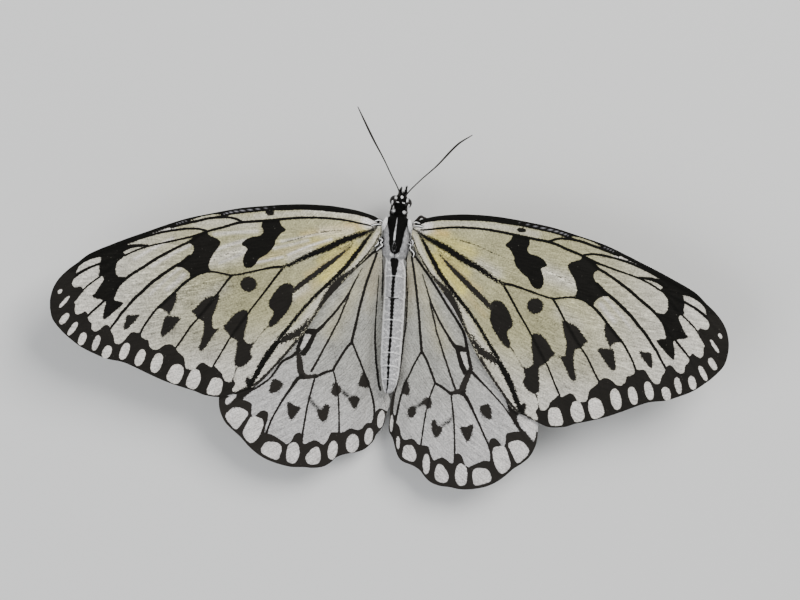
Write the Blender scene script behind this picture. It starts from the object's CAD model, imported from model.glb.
"""Paper kite butterfly, life size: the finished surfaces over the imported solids.

Plan sizes are in millimetres: s runs outward from the midline, t forward to the head and z up from the
floor. A wing's markings are drawn on its own plan, before it is swept to where it lies.
"""
import logging
import math
import random
from dataclasses import dataclass, field, replace
from enum import Enum
from typing import Optional, Sequence, Union

import bpy
import numpy as np
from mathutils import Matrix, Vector


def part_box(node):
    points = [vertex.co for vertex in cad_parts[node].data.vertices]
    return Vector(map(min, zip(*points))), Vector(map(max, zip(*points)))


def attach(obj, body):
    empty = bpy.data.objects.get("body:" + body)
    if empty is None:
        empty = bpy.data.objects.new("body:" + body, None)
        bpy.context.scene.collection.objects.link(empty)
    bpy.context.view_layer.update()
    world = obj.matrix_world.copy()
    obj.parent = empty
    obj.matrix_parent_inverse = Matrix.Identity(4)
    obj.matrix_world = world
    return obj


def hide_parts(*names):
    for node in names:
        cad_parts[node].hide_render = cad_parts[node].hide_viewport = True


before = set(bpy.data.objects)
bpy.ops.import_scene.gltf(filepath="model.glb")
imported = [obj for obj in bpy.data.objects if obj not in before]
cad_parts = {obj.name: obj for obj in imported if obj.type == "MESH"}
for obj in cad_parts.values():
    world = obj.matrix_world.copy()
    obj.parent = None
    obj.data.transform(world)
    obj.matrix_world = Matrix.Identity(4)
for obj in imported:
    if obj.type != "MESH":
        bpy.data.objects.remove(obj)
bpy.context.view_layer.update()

log = logging.getLogger("butterfly")

MM = 0.001
TINY = 1e-9
# Millimetres: further than any marking reaches, and the spacing of samples on drawn lines and loops
FAR = 9.0
LINE_STEP = 0.35
LOOP_STEP = 0.25
SPOT_STEP = 0.2
Points = Sequence[tuple]
Colour = tuple[float, float, float]
Marks = dict[str, np.ndarray]


class Side(Enum):
    """The two sides of the animal; the value is the sign of s."""

    RIGHT = 1
    LEFT = -1

    @property
    def word(self) -> str:
        """The side's name in a piece name."""
        return self.name.lower()


def ramp(value: np.ndarray) -> np.ndarray:
    """Keeps numbers between 0 and 1."""
    return np.clip(value, 0.0, 1.0)


def bell(value: np.ndarray) -> np.ndarray:
    """Is 1 at 0 and falls off smoothly to both sides, to about a third at 1."""
    return np.exp(-value**2)


def spread(share: np.ndarray, values: Sequence[float]) -> np.ndarray:
    """Reads evenly spaced values at shares from 0 to 1."""
    return np.interp(share, np.linspace(0, 1, len(values)), values)


def between(place: np.ndarray, knots: Points) -> np.ndarray:
    """Reads a value that runs straight between knots, each a place and its value."""
    return np.interp(place, *zip(*knots))


def unit(vectors: np.ndarray) -> np.ndarray:
    """Brings vectors, one or in rows, to length 1."""
    return vectors / (np.linalg.norm(vectors, axis=-1, keepdims=True) + TINY)


def travelled(path: np.ndarray) -> np.ndarray:
    """Measures the way along a path from its start to each of its points."""
    return np.concatenate(([0.0], np.cumsum(np.linalg.norm(np.diff(path, axis=0), axis=1))))


def sideways(rng: random.Random, ahead: np.ndarray) -> np.ndarray:
    """Draws a direction that is square to another.

    Args:
        rng: The source of the scatter.
        ahead: The other direction.

    Returns:
        The direction, of length 1.
    """
    out = np.array([rng.gauss(0, 1) for _ in range(3)])
    return unit(out - ahead * out.dot(ahead) / ahead.dot(ahead))


@dataclass(frozen=True)
class BodyFrame:
    """Where the plan lies in the shared frame, and the lie of the wings over it."""

    thorax_front: float = 4.7
    hinge_z: float = 10.55
    hind_drop: float = 1.35
    rise: float = math.tan(math.radians(5.5))
    tip_sag: float = 0.0006
    rear_fall: float = 0.035
    rear_droop: float = 0.0014
    droop_start: float = -6.0
    trough_depth: float = 2.4
    trough_width: float = 1.7
    trough_edge: float = 2.7
    trough_front: float = -3.5
    trough_run: float = 5.0
    front_end: float = 3.0
    head_pivot: tuple = (0.05, 5.6)
    head_turn: float = math.radians(7.0)

    def origin(self) -> tuple[float, float]:
        """The shared frame's x and y of the plan's zero point, read from the thorax."""
        low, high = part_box("thorax")
        return (low.x + high.x) / 2, low.y + self.thorax_front * MM

    def world(self, s: np.ndarray, t: np.ndarray, z: np.ndarray) -> np.ndarray:
        """Places plan points, with s to the animal's right.

        Args:
            s: Sideways places in millimetres.
            t: Forward places in millimetres.
            z: Heights in millimetres.

        Returns:
            Points in metres, one row each.
        """
        x, y = self.origin()
        s, t, z = np.broadcast_arrays(s, t, z)
        return np.stack((x - s * MM, y - t * MM, z * MM), axis=-1)

    def rows(self, points: np.ndarray) -> np.ndarray:
        """Places plan points that are given as rows (s, t, z)."""
        return self.world(points[:, 0], points[:, 1], points[:, 2])

    def lie(self, u: np.ndarray, t: np.ndarray) -> np.ndarray:
        """Height of the forewing's middle plane, u outward from the midline.

        Args:
            u: Places outward from the midline.
            t: Places forward.

        Returns:
            The heights in millimetres.
        """
        height = self.hinge_z + self.rise * u - self.tip_sag * u * u
        height = height + self.rear_fall * np.minimum(t, self.front_end)
        behind = np.minimum(0.0, t - self.droop_start)
        height = height - self.rear_droop * behind**2
        beside = ramp((self.trough_front - t) / self.trough_run)
        hollow = np.exp(np.minimum(0.0, self.trough_edge - u) / self.trough_width)
        return height - self.trough_depth * beside * hollow

    def swing(self, points: np.ndarray) -> np.ndarray:
        """Turns head points (s, t, z) with the head, which looks a little to the right.

        Args:
            points: Head points in millimetres, before the head is turned.

        Returns:
            The turned points.
        """
        turned = np.array(points, dtype=float)
        ds = turned[..., 0] - self.head_pivot[0]
        dt = turned[..., 1] - self.head_pivot[1]
        cosine, sine = math.cos(self.head_turn), math.sin(self.head_turn)
        turned[..., 0] = self.head_pivot[0] + cosine * ds + sine * dt
        turned[..., 1] = self.head_pivot[1] - sine * ds + cosine * dt
        return turned


FRAME = BodyFrame()


# Lines and outlines

def smooth_line(points: Points, step: float) -> np.ndarray:
    """Runs a smooth curve through points, keeping each of them.

    Args:
        points: The points, in two or three dimensions.
        step: The rough distance between samples.

    Returns:
        The samples, one row each.
    """
    knots = np.array(points, dtype=float)
    padded = np.vstack((2 * knots[0] - knots[1], knots, 2 * knots[-1] - knots[-2]))
    gaps = np.maximum(np.linalg.norm(np.diff(padded, axis=0), axis=1), 1e-6)
    line = [knots[:1]]
    for i in range(1, len(padded) - 2):
        p0, p1, p2, p3 = padded[i - 1:i + 3]
        enter = (p2 - p0) / (gaps[i] + gaps[i - 1]) * gaps[i]
        leave = (p3 - p1) / (gaps[i + 1] + gaps[i]) * gaps[i]
        count = max(1, round(gaps[i] / step))
        u = (np.arange(1, count + 1) / count)[:, None]
        line.append((2 * u**3 - 3 * u**2 + 1) * p1 + (u**3 - 2 * u**2 + u) * enter
                    + (3 * u**2 - 2 * u**3) * p2 + (u**3 - u**2) * leave)
    return np.vstack(line)


def smooth_loop(points: Points, step: float) -> np.ndarray:
    """Runs a smooth closed curve through points; the last sample meets the first.

    Args:
        points: The points, each of them once.
        step: The rough distance between samples.

    Returns:
        The samples, one row each.
    """
    count = len(points)
    wrapped = [points[i % count] for i in range(-2, count + 3)]
    line = smooth_line(wrapped, step)
    hits = np.flatnonzero(np.linalg.norm(line - np.array(points[0], dtype=float), axis=1) < 1e-9)
    return line[hits[0]:hits[-1] + 1]


def to_line(places: np.ndarray, line: np.ndarray, reach: float) -> tuple[np.ndarray, np.ndarray]:
    """Measures how far places lie from a line.

    Args:
        places: Plan places, one row each.
        line: The line's samples.
        reach: Places further off than this are left at it.

    Returns:
        The distances, and how far along the line from 0 to 1 the nearest point is.
    """
    gaps = np.full(len(places), reach)
    along = np.zeros(len(places))
    near = np.all((places > line.min(axis=0) - reach) & (places < line.max(axis=0) + reach), axis=1)
    chosen = np.flatnonzero(near)
    starts, runs = line[:-1], np.diff(line, axis=0)
    squares = np.maximum((runs**2).sum(axis=1), 1e-12)
    before = np.concatenate(([0.0], np.cumsum(np.sqrt(squares))))
    blocks = max(1, len(chosen) * len(runs) // 3_000_000)
    for block in np.array_split(chosen, blocks):
        offset = places[block][:, None] - starts
        share = ramp((offset * runs).sum(axis=2) / squares)
        away = np.linalg.norm(offset - share[..., None] * runs, axis=2)
        best = away.argmin(axis=1)
        rows = np.arange(len(block))
        gaps[block] = np.minimum(reach, away[rows, best])
        step = before[best + 1] - before[best]
        along[block] = (before[best] + share[rows, best] * step) / before[-1]
    return gaps, along


def inside(places: np.ndarray, loop: np.ndarray) -> np.ndarray:
    """Says which places lie inside a closed line.

    Args:
        places: Plan places, one row each.
        loop: The closed line's samples.

    Returns:
        True where a place is inside.
    """
    result = np.zeros(len(places), dtype=bool)
    near = np.flatnonzero(np.all((places > loop.min(axis=0)) & (places < loop.max(axis=0)), axis=1))
    x, y = places[near, 0], places[near, 1]
    crossed = np.zeros(len(near), dtype=bool)
    for (x1, y1), (x2, y2) in zip(loop[:-1], loop[1:]):
        if y1 == y2:
            continue
        spans = (y1 > y) != (y2 > y)
        crossed ^= spans & (x < x1 + (y - y1) * (x2 - x1) / (y2 - y1))
    result[near] = crossed
    return result


def to_loop(places: np.ndarray, loop: np.ndarray, reach: float) -> np.ndarray:
    """Signed distance to a closed line, below zero inside it."""
    gaps, _ = to_line(places, loop, reach)
    return np.where(inside(places, loop), -gaps, gaps)


def oval(centre: tuple, half: tuple, turn: float = 0.0) -> list[tuple]:
    """Corners of an oval; turn is in degrees.

    Args:
        centre: Its centre.
        half: Half its sizes before it is turned.
        turn: The turn in degrees.

    Returns:
        The corners.
    """
    cosine, sine = math.cos(math.radians(turn)), math.sin(math.radians(turn))
    corners = []
    for k in range(12):
        a, b = half[0] * math.cos(k * math.pi / 6), half[1] * math.sin(k * math.pi / 6)
        corners.append((centre[0] + cosine * a - sine * b, centre[1] + sine * a + cosine * b))
    return corners


def capsule(start: tuple, end: tuple, half: float) -> list[tuple]:
    """Corners of a rounded spot that runs from one end to another, widest in the middle.

    Args:
        start: One end.
        end: The other end.
        half: Half the width in the middle.

    Returns:
        The corners.
    """
    start, end = np.array(start), np.array(end)
    run = end - start
    across = half * np.array((-run[1], run[0])) / np.linalg.norm(run)
    shape = ((0.0, 0.25), (0.12, 0.75), (0.4, 1.0), (0.7, 0.95), (0.93, 0.6), (1.0, 0.15))
    corners = [tuple(start + share * run + width * across) for share, width in shape]
    return corners + [tuple(start + share * run - width * across) for share, width in reversed(shape)]


# Shader expressions

class Value:
    """A socket of a material's nodes, used in plain arithmetic."""

    def __init__(self, graph: "Graph", socket: bpy.types.NodeSocket) -> None:
        """Keeps the graph and the socket that it stands for."""
        self.graph = graph
        self.socket = socket

    def math(self, operation: str, *others: "Number", clamp: bool = False) -> "Value":
        """Adds a Math node that works on this value first."""
        inputs = {i: value for i, value in enumerate((self, *others))}
        return self.graph.node("ShaderNodeMath", {"operation": operation, "use_clamp": clamp}, inputs)

    def __add__(self, other: "Number") -> "Value":
        """This plus another."""
        return self.math("ADD", other)

    def __radd__(self, other: "Number") -> "Value":
        """Another plus this."""
        return self.math("ADD", other)

    def __sub__(self, other: "Number") -> "Value":
        """This less another."""
        return self.math("SUBTRACT", other)

    def __rsub__(self, other: "Number") -> "Value":
        """Another less this."""
        return (self * -1.0).math("ADD", other)

    def __mul__(self, other: "Number") -> "Value":
        """This times another."""
        return self.math("MULTIPLY", other)

    def __rmul__(self, other: "Number") -> "Value":
        """Another times this."""
        return self.math("MULTIPLY", other)

    def __truediv__(self, other: "Number") -> "Value":
        """This divided by another."""
        return self.math("DIVIDE", other)

    def clamp(self) -> "Value":
        """Keeps the value between 0 and 1."""
        return self.math("ADD", 0.0, clamp=True)

    def smooth(self, low: float, high: float) -> "Value":
        """Rises smoothly from 0 at low to 1 at high."""
        return self.graph.node("ShaderNodeMapRange", {"interpolation_type": "SMOOTHSTEP"},
                               {"Value": self, "From Min": low, "From Max": high})


Number = Union[Value, float]


class Graph:
    """A material and the one method that puts nodes in it."""

    def __init__(self, name: str) -> None:
        """Makes an empty material with its shader.

        Args:
            name: The material's name.
        """
        self.material = bpy.data.materials.new(name)
        self.material.use_nodes = True
        self.tree = self.material.node_tree
        self.shader = self.tree.nodes["Principled BSDF"]

    def node(self, kind: str, settings: Optional[dict] = None, inputs: Optional[dict] = None,
             output: Union[int, str] = 0) -> Value:
        """Adds a node.

        Args:
            kind: The node's type.
            settings: Its settings, made first.
            inputs: Values or links of its sockets, by name or place.
            output: The socket that is returned.

        Returns:
            The chosen output.
        """
        made = self.tree.nodes.new(kind)
        for name, value in (settings or {}).items():
            setattr(made, name, value)
        for name, value in (inputs or {}).items():
            self.feed(made.inputs[name], value)
        return Value(self, made.outputs[output])

    def feed(self, socket: bpy.types.NodeSocket, value: Union[Value, float, tuple]) -> None:
        """Links a socket, or sets its constant.

        Args:
            socket: The input.
            value: What goes in it.
        """
        if isinstance(value, Value):
            self.tree.links.new(value.socket, socket)
        elif isinstance(value, tuple) and len(value) == 3 and socket.type == "RGBA":
            socket.default_value = (*value, 1.0)
        else:
            socket.default_value = value

    def attribute(self, name: str) -> Value:
        """Reads a number stored on the mesh."""
        return self.node("ShaderNodeAttribute", {"attribute_name": name}, output="Fac")

    def place(self) -> Value:
        """Object coordinates, in metres."""
        return self.node("ShaderNodeTexCoord", output="Object")

    def noise(self, place: Value, per_mm: float, detail: float = 2.0, rough: float = 0.5) -> Value:
        """Smooth noise around 0, with so many waves to a millimetre.

        Args:
            place: Where it is read.
            per_mm: The waves to a millimetre.
            detail: How many finer layers it has.
            rough: How strong the finer layers are.

        Returns:
            The noise.
        """
        made = self.node("ShaderNodeTexNoise", None, {"Vector": place, "Scale": per_mm / MM,
                                                     "Detail": detail, "Roughness": rough})
        return made - 0.5

    def cells(self, place: Value, per_mm: float) -> Value:
        """Distance to the nearest cell point, with so many cells to a millimetre."""
        return self.node("ShaderNodeTexVoronoi", None, {"Vector": place, "Scale": per_mm / MM}, "Distance")

    def blend(self, mask: Number, first: Union[Value, Colour], second: Union[Value, Colour]) -> Value:
        """Mixes two colours; mask 0 gives the first and 1 the second."""
        return self.node("ShaderNodeMix", {"data_type": "RGBA"}, {0: mask, 6: first, 7: second}, 2)

    def tone(self, colour: Value, factor: Value) -> Value:
        """Scales a colour by a number."""
        return self.node("ShaderNodeVectorMath", {"operation": "SCALE"},
                         {"Vector": colour, "Scale": factor})

    def bump(self, height: Value, depth_mm: float, strength: float = 1.0) -> Value:
        """Turns a height between 0 and 1 into a normal."""
        return self.node("ShaderNodeBump", None, {"Height": height, "Distance": depth_mm * MM,
                                                 "Strength": strength})

    def finish(self, **inputs: Union[Value, float, Colour]) -> bpy.types.Material:
        """Feeds the shader's sockets, named with _ for a space, and returns the material.

        Args:
            **inputs: What each socket gets.

        Returns:
            The material.
        """
        for name, value in inputs.items():
            self.feed(self.shader.inputs[name.replace("_", " ")], value)
        return self.material


# Finishes

@dataclass(frozen=True)
class WingFinish:
    """Papery wing scales: pale field, dark veins and blots, and white spots."""

    name: str
    pale: Colour
    outer: Colour
    warm: Colour = (0.66, 0.57, 0.155)
    tan: Colour = (0.56, 0.40, 0.13)
    bright: Colour = (0.78, 0.74, 0.70)
    dark: Colour = (0.0052, 0.0050, 0.0042)
    brown: Colour = (0.0200, 0.0180, 0.0155)
    silver: Colour = (0.42, 0.41, 0.44)

    def build(self) -> bpy.types.Material:
        """Makes the material.

        Returns:
            The material.
        """
        g = Graph(self.name)
        place = g.place()
        grain = g.node("ShaderNodeUVMap", {"uv_map": "Grain"})
        streak = g.noise(g.node("ShaderNodeMapping", None, {"Vector": grain, "Scale": (4.0, 0.35, 1.0)}),
                         MM, 4.0, 0.6)
        feather = g.noise(g.node("ShaderNodeMapping", None, {"Vector": grain, "Scale": (7.5, 2.0, 1.0),
                                                           "Rotation": (0.0, 0.0, 0.4)}), MM, 2.0, 0.5)
        fine = g.noise(place, 3.6, 3.0, 0.65)
        middle = g.noise(place, 1.3, 3.0, 0.6)
        broad = g.noise(place, 0.3, 3.0)
        scales = g.cells(place, 9.0)
        fray, soft = g.attribute("fray"), g.attribute("soft")
        edge = g.attribute("ink") + fine * (soft * 1.3 + fray * 0.9 + 0.24) + middle * 0.12
        edge = edge + feather * (fray * 2.6) + streak * (soft * 0.4 + 0.08)
        open_field = (edge / (soft * 0.20 + 0.06)).smooth(-1.0, 1.0)
        dark = g.blend((g.attribute("thin") * 1.3 + streak + fine * 0.6).clamp(), self.dark, self.brown)
        speck = (0.17 - g.cells(place, 1.4)).smooth(0.0, 0.06) * middle.smooth(0.02, 0.10)
        dark = g.blend(speck * 0.5, dark, (0.10, 0.095, 0.08))
        dark = g.blend(g.attribute("silver"), dark, self.silver)
        pale = g.blend(g.attribute("outer"), self.pale, self.outer)
        pale = g.blend((g.attribute("warm") + broad * g.attribute("warm")).clamp(), pale, self.warm)
        pale = g.blend(g.attribute("tan"), pale, self.tan)
        pale = g.blend(g.attribute("bright"), pale, self.bright)
        silk = (middle + streak).smooth(0.03, 0.22) * g.attribute("silk") * 0.55
        shade = 1.04 + streak * 1.5 + fine * 2.0 + broad * 0.4 + silk - g.attribute("smudge")
        pale = g.tone(pale, shade - scales * 0.12)
        colour = g.blend(open_field, dark, pale)
        height = streak * 0.5 + fine * 0.5 + scales * 0.4 + 0.4
        return g.finish(Base_Color=colour, Roughness=0.60 + streak * 0.3, Specular_IOR_Level=0.05,
                        Normal=g.bump(height, 0.03, 0.8))


@dataclass(frozen=True)
class PileFinish:
    """Short scales and hair on the body, from black to white by the tone stored on the mesh."""

    name: str
    black: Colour = (0.0045, 0.0042, 0.0038)
    grey: Colour = (0.37, 0.365, 0.37)
    white: Colour = (0.88, 0.87, 0.86)
    per_mm: float = 11.0
    depth: float = 0.035

    def build(self) -> bpy.types.Material:
        """Makes the material.

        Returns:
            The material.
        """
        g = Graph(self.name)
        place = g.place()
        along = g.node("ShaderNodeMapping", None, {"Vector": place, "Scale": (1.0, 0.28, 1.0)})
        hair = g.noise(along, self.per_mm, 3.0, 0.6)
        fine = g.noise(place, 4.0, 3.0)
        blotch = g.noise(place, 1.1, 3.0, 0.6)
        tone = g.attribute("tone") + hair * 0.35 + fine * 0.25 + blotch * (g.attribute("tone") * 0.55)
        colour = g.blend(tone.smooth(0.22, 0.58), self.black, self.grey)
        colour = g.blend(tone.smooth(0.62, 0.92), colour, self.white)
        colour = g.tone(colour, 1.0 + hair * 1.4 + fine * 0.8)
        return g.finish(Base_Color=colour, Roughness=0.7 + hair * 0.3, Specular_IOR_Level=0.05,
                        Normal=g.bump(hair + 0.5, self.depth, 0.8))


@dataclass(frozen=True)
class HornFinish:
    """Black horny skin of legs, feelers, claws and tongue, with fine rings or pits."""

    name: str
    colour: Colour = (0.012, 0.010, 0.009)
    light: Colour = (0.055, 0.045, 0.040)
    rough: float = 0.42

    def build(self) -> bpy.types.Material:
        """Makes the material.

        Returns:
            The material.
        """
        g = Graph(self.name)
        place = g.place()
        pits = g.cells(place, 14.0)
        fine = g.noise(place, 6.0, 3.0)
        pale = (g.attribute("tone") + fine * 0.4).smooth(0.2, 1.0)
        colour = g.blend((pits * 0.5 + fine * 0.5).clamp(), self.colour, self.light)
        colour = g.blend(pale, colour, (0.45, 0.44, 0.42))
        return g.finish(Base_Color=colour, Roughness=self.rough + fine * 0.3, Specular_IOR_Level=0.25,
                        Normal=g.bump(pits, 0.012, 0.7))


@dataclass(frozen=True)
class EyeFinish:
    """Compound eye: deep black-brown with thousands of small facets under a gloss."""

    name: str = "compound_eye"

    def build(self) -> bpy.types.Material:
        """Makes the material.

        Returns:
            The material.
        """
        g = Graph(self.name)
        place = g.place()
        facets = g.cells(place, 24.0)
        mottle = g.noise(place, 1.6, 3.0)
        colour = g.blend((mottle + 0.5).smooth(0.35, 0.75), (0.004, 0.0032, 0.003), (0.011, 0.0075, 0.006))
        return g.finish(Base_Color=colour, Roughness=0.24 + facets * 0.2, Specular_IOR_Level=0.25,
                        Normal=g.bump(1.0 - facets, 0.006, 0.6))


@dataclass(frozen=True)
class FloorFinish:
    """Plain pale floor with a trace of unevenness."""

    name: str = "pale_floor"
    colour: Colour = (0.80, 0.80, 0.79)

    def build(self) -> bpy.types.Material:
        """Makes the material.

        Returns:
            The material.
        """
        g = Graph(self.name)
        cloud = g.noise(g.place(), 0.02, 2.0)
        return g.finish(Base_Color=g.blend((cloud + 0.5).clamp() * 0.1, self.colour, (0.74, 0.74, 0.73)),
                        Roughness=0.85 + cloud * 0.1)


def hair_finish(name: str) -> bpy.types.Material:
    """Makes the finish of thin hair, with little relief of its own."""
    return PileFinish(name, per_mm=4.0, depth=0.01).build()


# Mesh handling

def deselect() -> None:
    """Leaves object mode with nothing selected."""
    if bpy.context.object and bpy.context.object.mode != "OBJECT":
        bpy.ops.object.mode_set(mode="OBJECT")
    bpy.ops.object.select_all(action="DESELECT")


def activate(obj: bpy.types.Object) -> None:
    """Selects one object and makes it active.

    Args:
        obj: The object.
    """
    deselect()
    obj.select_set(True)
    bpy.context.view_layer.objects.active = obj


def coordinates(mesh: bpy.types.Mesh) -> np.ndarray:
    """Reads a mesh's points.

    Args:
        mesh: The mesh.

    Returns:
        Its points, one row each.
    """
    flat = np.empty(len(mesh.vertices) * 3, dtype=np.float64)
    mesh.vertices.foreach_get("co", flat)
    return flat.reshape(-1, 3)


def put_coordinates(mesh: bpy.types.Mesh, points: np.ndarray) -> None:
    """Moves a mesh's points."""
    mesh.vertices.foreach_set("co", np.ascontiguousarray(points, dtype=np.float32).ravel())
    mesh.update()


def store(mesh: bpy.types.Mesh, name: str, values: np.ndarray) -> None:
    """Stores a number at each point of a mesh."""
    layer = mesh.attributes.get(name) or mesh.attributes.new(name, "FLOAT", "POINT")
    layer.data.foreach_set("value", np.ascontiguousarray(values, dtype=np.float32))


def delete_points(obj: bpy.types.Object, chosen: np.ndarray) -> None:
    """Deletes points in edit mode, with the edges and faces on them.

    Args:
        obj: The object.
        chosen: True for each point that goes.
    """
    activate(obj)
    mesh = obj.data
    mesh.polygons.foreach_set("select", np.zeros(len(mesh.polygons), dtype=bool))
    mesh.edges.foreach_set("select", np.zeros(len(mesh.edges), dtype=bool))
    mesh.vertices.foreach_set("select", chosen)
    bpy.ops.object.mode_set(mode="EDIT")
    bpy.ops.mesh.select_mode(type="VERT")
    bpy.ops.mesh.delete(type="VERT")
    bpy.ops.object.mode_set(mode="OBJECT")


def apply_modifier(obj: bpy.types.Object, kind: str, **settings: object) -> None:
    """Adds one modifier and applies it.

    Args:
        obj: The object.
        kind: The modifier's type.
        **settings: Its settings by name.
    """
    activate(obj)
    modifier = obj.modifiers.new(kind.lower(), kind)
    for name, value in settings.items():
        setattr(modifier, name, value)
    bpy.ops.object.modifier_apply(modifier=modifier.name)


def mesh_piece(name: str, points: np.ndarray, faces: Sequence,
               tone: Union[float, np.ndarray]) -> bpy.types.Object:
    """Makes an object from plan points and faces.

    Args:
        name: The object's name.
        points: Its points in millimetres.
        faces: Its faces, each the places of its corners in points.
        tone: From 0 for black to 1 for white, at every point or for all.

    Returns:
        The object.
    """
    mesh = bpy.data.meshes.new(name)
    mesh.from_pydata(FRAME.rows(points).tolist(), [], [tuple(face) for face in faces])
    mesh.update()
    store(mesh, "tone", np.broadcast_to(tone, len(points)))
    obj = bpy.data.objects.new(name, mesh)
    bpy.context.scene.collection.objects.link(obj)
    return obj


def unit_ball(name: str, segments: int, rings: int) -> tuple[bpy.types.Object, np.ndarray]:
    """Adds a ball of radius 1 that is shaped later.

    Args:
        name: The object's name.
        segments: The number of its faces round its axis.
        rings: The number of its faces from pole to pole.

    Returns:
        The object, and its points.
    """
    deselect()
    bpy.ops.mesh.primitive_uv_sphere_add(segments=segments, ring_count=rings, radius=1.0)
    obj = bpy.context.object
    obj.name = obj.data.name = name
    return obj, coordinates(obj.data)


def shape_ball(obj: bpy.types.Object, points: np.ndarray) -> None:
    """Moves a ball's points to plan places and turns its faces outward.

    Args:
        obj: The ball.
        points: The place of each of its points in millimetres.
    """
    put_coordinates(obj.data, FRAME.rows(points))
    activate(obj)
    bpy.ops.object.mode_set(mode="EDIT")
    bpy.ops.mesh.select_all(action="SELECT")
    bpy.ops.mesh.normals_make_consistent(inside=False)
    bpy.ops.object.mode_set(mode="OBJECT")


def settle(obj: bpy.types.Object, material: bpy.types.Material, nodes: Sequence[str] = (),
           angle: float = 50.0) -> bpy.types.Object:
    """Dresses a finished piece and binds it to the body.

    Args:
        obj: The piece.
        material: Its finish.
        nodes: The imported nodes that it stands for.
        angle: The sharpest angle in degrees that is shaded smooth.

    Returns:
        The piece.
    """
    activate(obj)
    bpy.ops.object.shade_smooth_by_angle(angle=math.radians(angle))
    obj.data.materials.clear()
    obj.data.materials.append(material)
    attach(obj, "root")
    if nodes:
        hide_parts(*nodes)
    log.info("%s: %d faces", obj.name, len(obj.data.polygons))
    return obj


def tube_mesh(path: np.ndarray, radii: np.ndarray, sides: int) -> tuple[np.ndarray, list[tuple]]:
    """Sweeps a round section along a path, with pointed closed ends.

    Args:
        path: The path's points in millimetres.
        radii: The radius at each.
        sides: The number of sides.

    Returns:
        The points, and the faces.
    """
    ahead = unit(np.gradient(path, axis=0))
    side = np.cross(ahead[0], (0.0, 0.0, 1.0))
    if np.linalg.norm(side) < 0.1:
        side = np.array((1.0, 0.0, 0.0))
    points, faces = [], []
    angles = 2 * math.pi * np.arange(sides) / sides
    for i, (centre, run, radius) in enumerate(zip(path, ahead, radii)):
        side = unit(side - run * side.dot(run))
        up = np.cross(side, run)
        points.extend(centre + radius * (np.cos(a) * side + np.sin(a) * up) for a in angles)
        if i:
            for k in range(sides):
                n = (k + 1) % sides
                low, high = (i - 1) * sides, i * sides
                faces.append((low + k, low + n, high + n, high + k))
    first, last = len(points), len(points) + 1
    points.append(path[0] - ahead[0] * radii[0] * 0.6)
    points.append(path[-1] + ahead[-1] * radii[-1] * 0.9)
    top = (len(path) - 1) * sides
    for k in range(sides):
        n = (k + 1) % sides
        faces.append((first, n, k))
        faces.append((last, top + k, top + n))
    return np.array(points), faces


class Coat:
    """Many thin tapered hairs or scales joined in one mesh, in millimetres."""

    def __init__(self) -> None:
        """Starts with no hair."""
        self.points: list[np.ndarray] = []
        self.faces: list[np.ndarray] = []
        self.tones: list[np.ndarray] = []
        self.patches: list[np.ndarray] = []
        self.count = 0

    def hair(self, root: np.ndarray, run: np.ndarray, up: np.ndarray, length: float, width: float,
             curl: float, tone: float, patch: tuple, steps: int = 3) -> None:
        """Adds one hair.

        Args:
            root: Where it grows.
            run: The direction it lies in.
            up: The direction away from the skin.
            length: Its length.
            width: Its width at the root.
            curl: How far the tip bends down, as a share of the length.
            tone: 0 for black to 1 for white.
            patch: The root's place on the skin's own unwrap.
            steps: The number of lengths it bends in.
        """
        run = unit(run)
        across = unit(np.cross(run, up))
        over = np.cross(across, run)
        rings = []
        for i in range(steps):
            share = i / steps
            centre = root + run * length * share - over * curl * length * share**2
            half = width / 2 * (1 - 0.75 * share)
            rings.append(np.stack((centre - across * half, centre + across * half,
                                   centre + over * half * 0.7)))
        tip = root + run * length - over * curl * length
        points = np.vstack(rings + [tip[None]])
        faces = [(0, 1, 2)]
        for i in range(steps - 1):
            a, b = 3 * i, 3 * i + 3
            for k in range(3):
                n = (k + 1) % 3
                faces.append((a + k, b + k, b + n))
                faces.append((a + k, b + n, a + n))
        last, end = 3 * (steps - 1), 3 * steps
        faces.extend((last + k, end, last + (k + 1) % 3) for k in range(3))
        shares = np.append(np.repeat(np.arange(steps) / steps, 3), 1.0)
        spread = np.append(np.tile((-1.0, 1.0, 0.0), steps), 0.0)
        self.points.append(points)
        self.faces.append(np.array(faces) + self.count)
        self.tones.append(np.full(len(points), tone))
        self.patches.append(np.stack((patch[0] + 0.0015 * spread * (1 - shares),
                                      patch[1] + 0.003 * shares - 0.0015), axis=1))
        self.count += len(points)

    def build(self, name: str) -> bpy.types.Object:
        """Joins the hairs in one object with its tone and bake map.

        Args:
            name: The object's name.

        Returns:
            The object.
        """
        obj = mesh_piece(name, np.vstack(self.points), np.vstack(self.faces).tolist(),
                         np.concatenate(self.tones))
        patches = np.vstack(self.patches)
        layer = obj.data.uv_layers.new(name="OFBake")
        corners = np.empty(len(obj.data.loops), dtype=np.int32)
        obj.data.loops.foreach_get("vertex_index", corners)
        layer.data.foreach_set("uv", ramp(patches[corners]).astype(np.float32).ravel())
        return obj

    def dress(self, name: str, material: bpy.types.Material) -> bpy.types.Object:
        """Joins the hairs and dresses them, shaded smooth all round.

        Args:
            name: The piece's name.
            material: Its finish.

        Returns:
            The finished piece.
        """
        return settle(self.build(name), material, angle=180.0)


# Wings

@dataclass(frozen=True)
class Stroke:
    """A dark vein or streak: its line, and its width spread along it."""

    line: Points
    widths: tuple = (0.34,)
    thin: float = 0.0
    fray: float = 0.0
    raised: float = 1.0


@dataclass(frozen=True)
class Blot:
    """A dark blot with its outline; thin blots are browner."""

    loop: Points
    thin: float = 0.35


@dataclass(frozen=True)
class Tint:
    """A soft change of hue along a line: warm, tan, bright, silk or smudge."""

    hue: str
    line: Points
    reach: float
    depth: float


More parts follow.
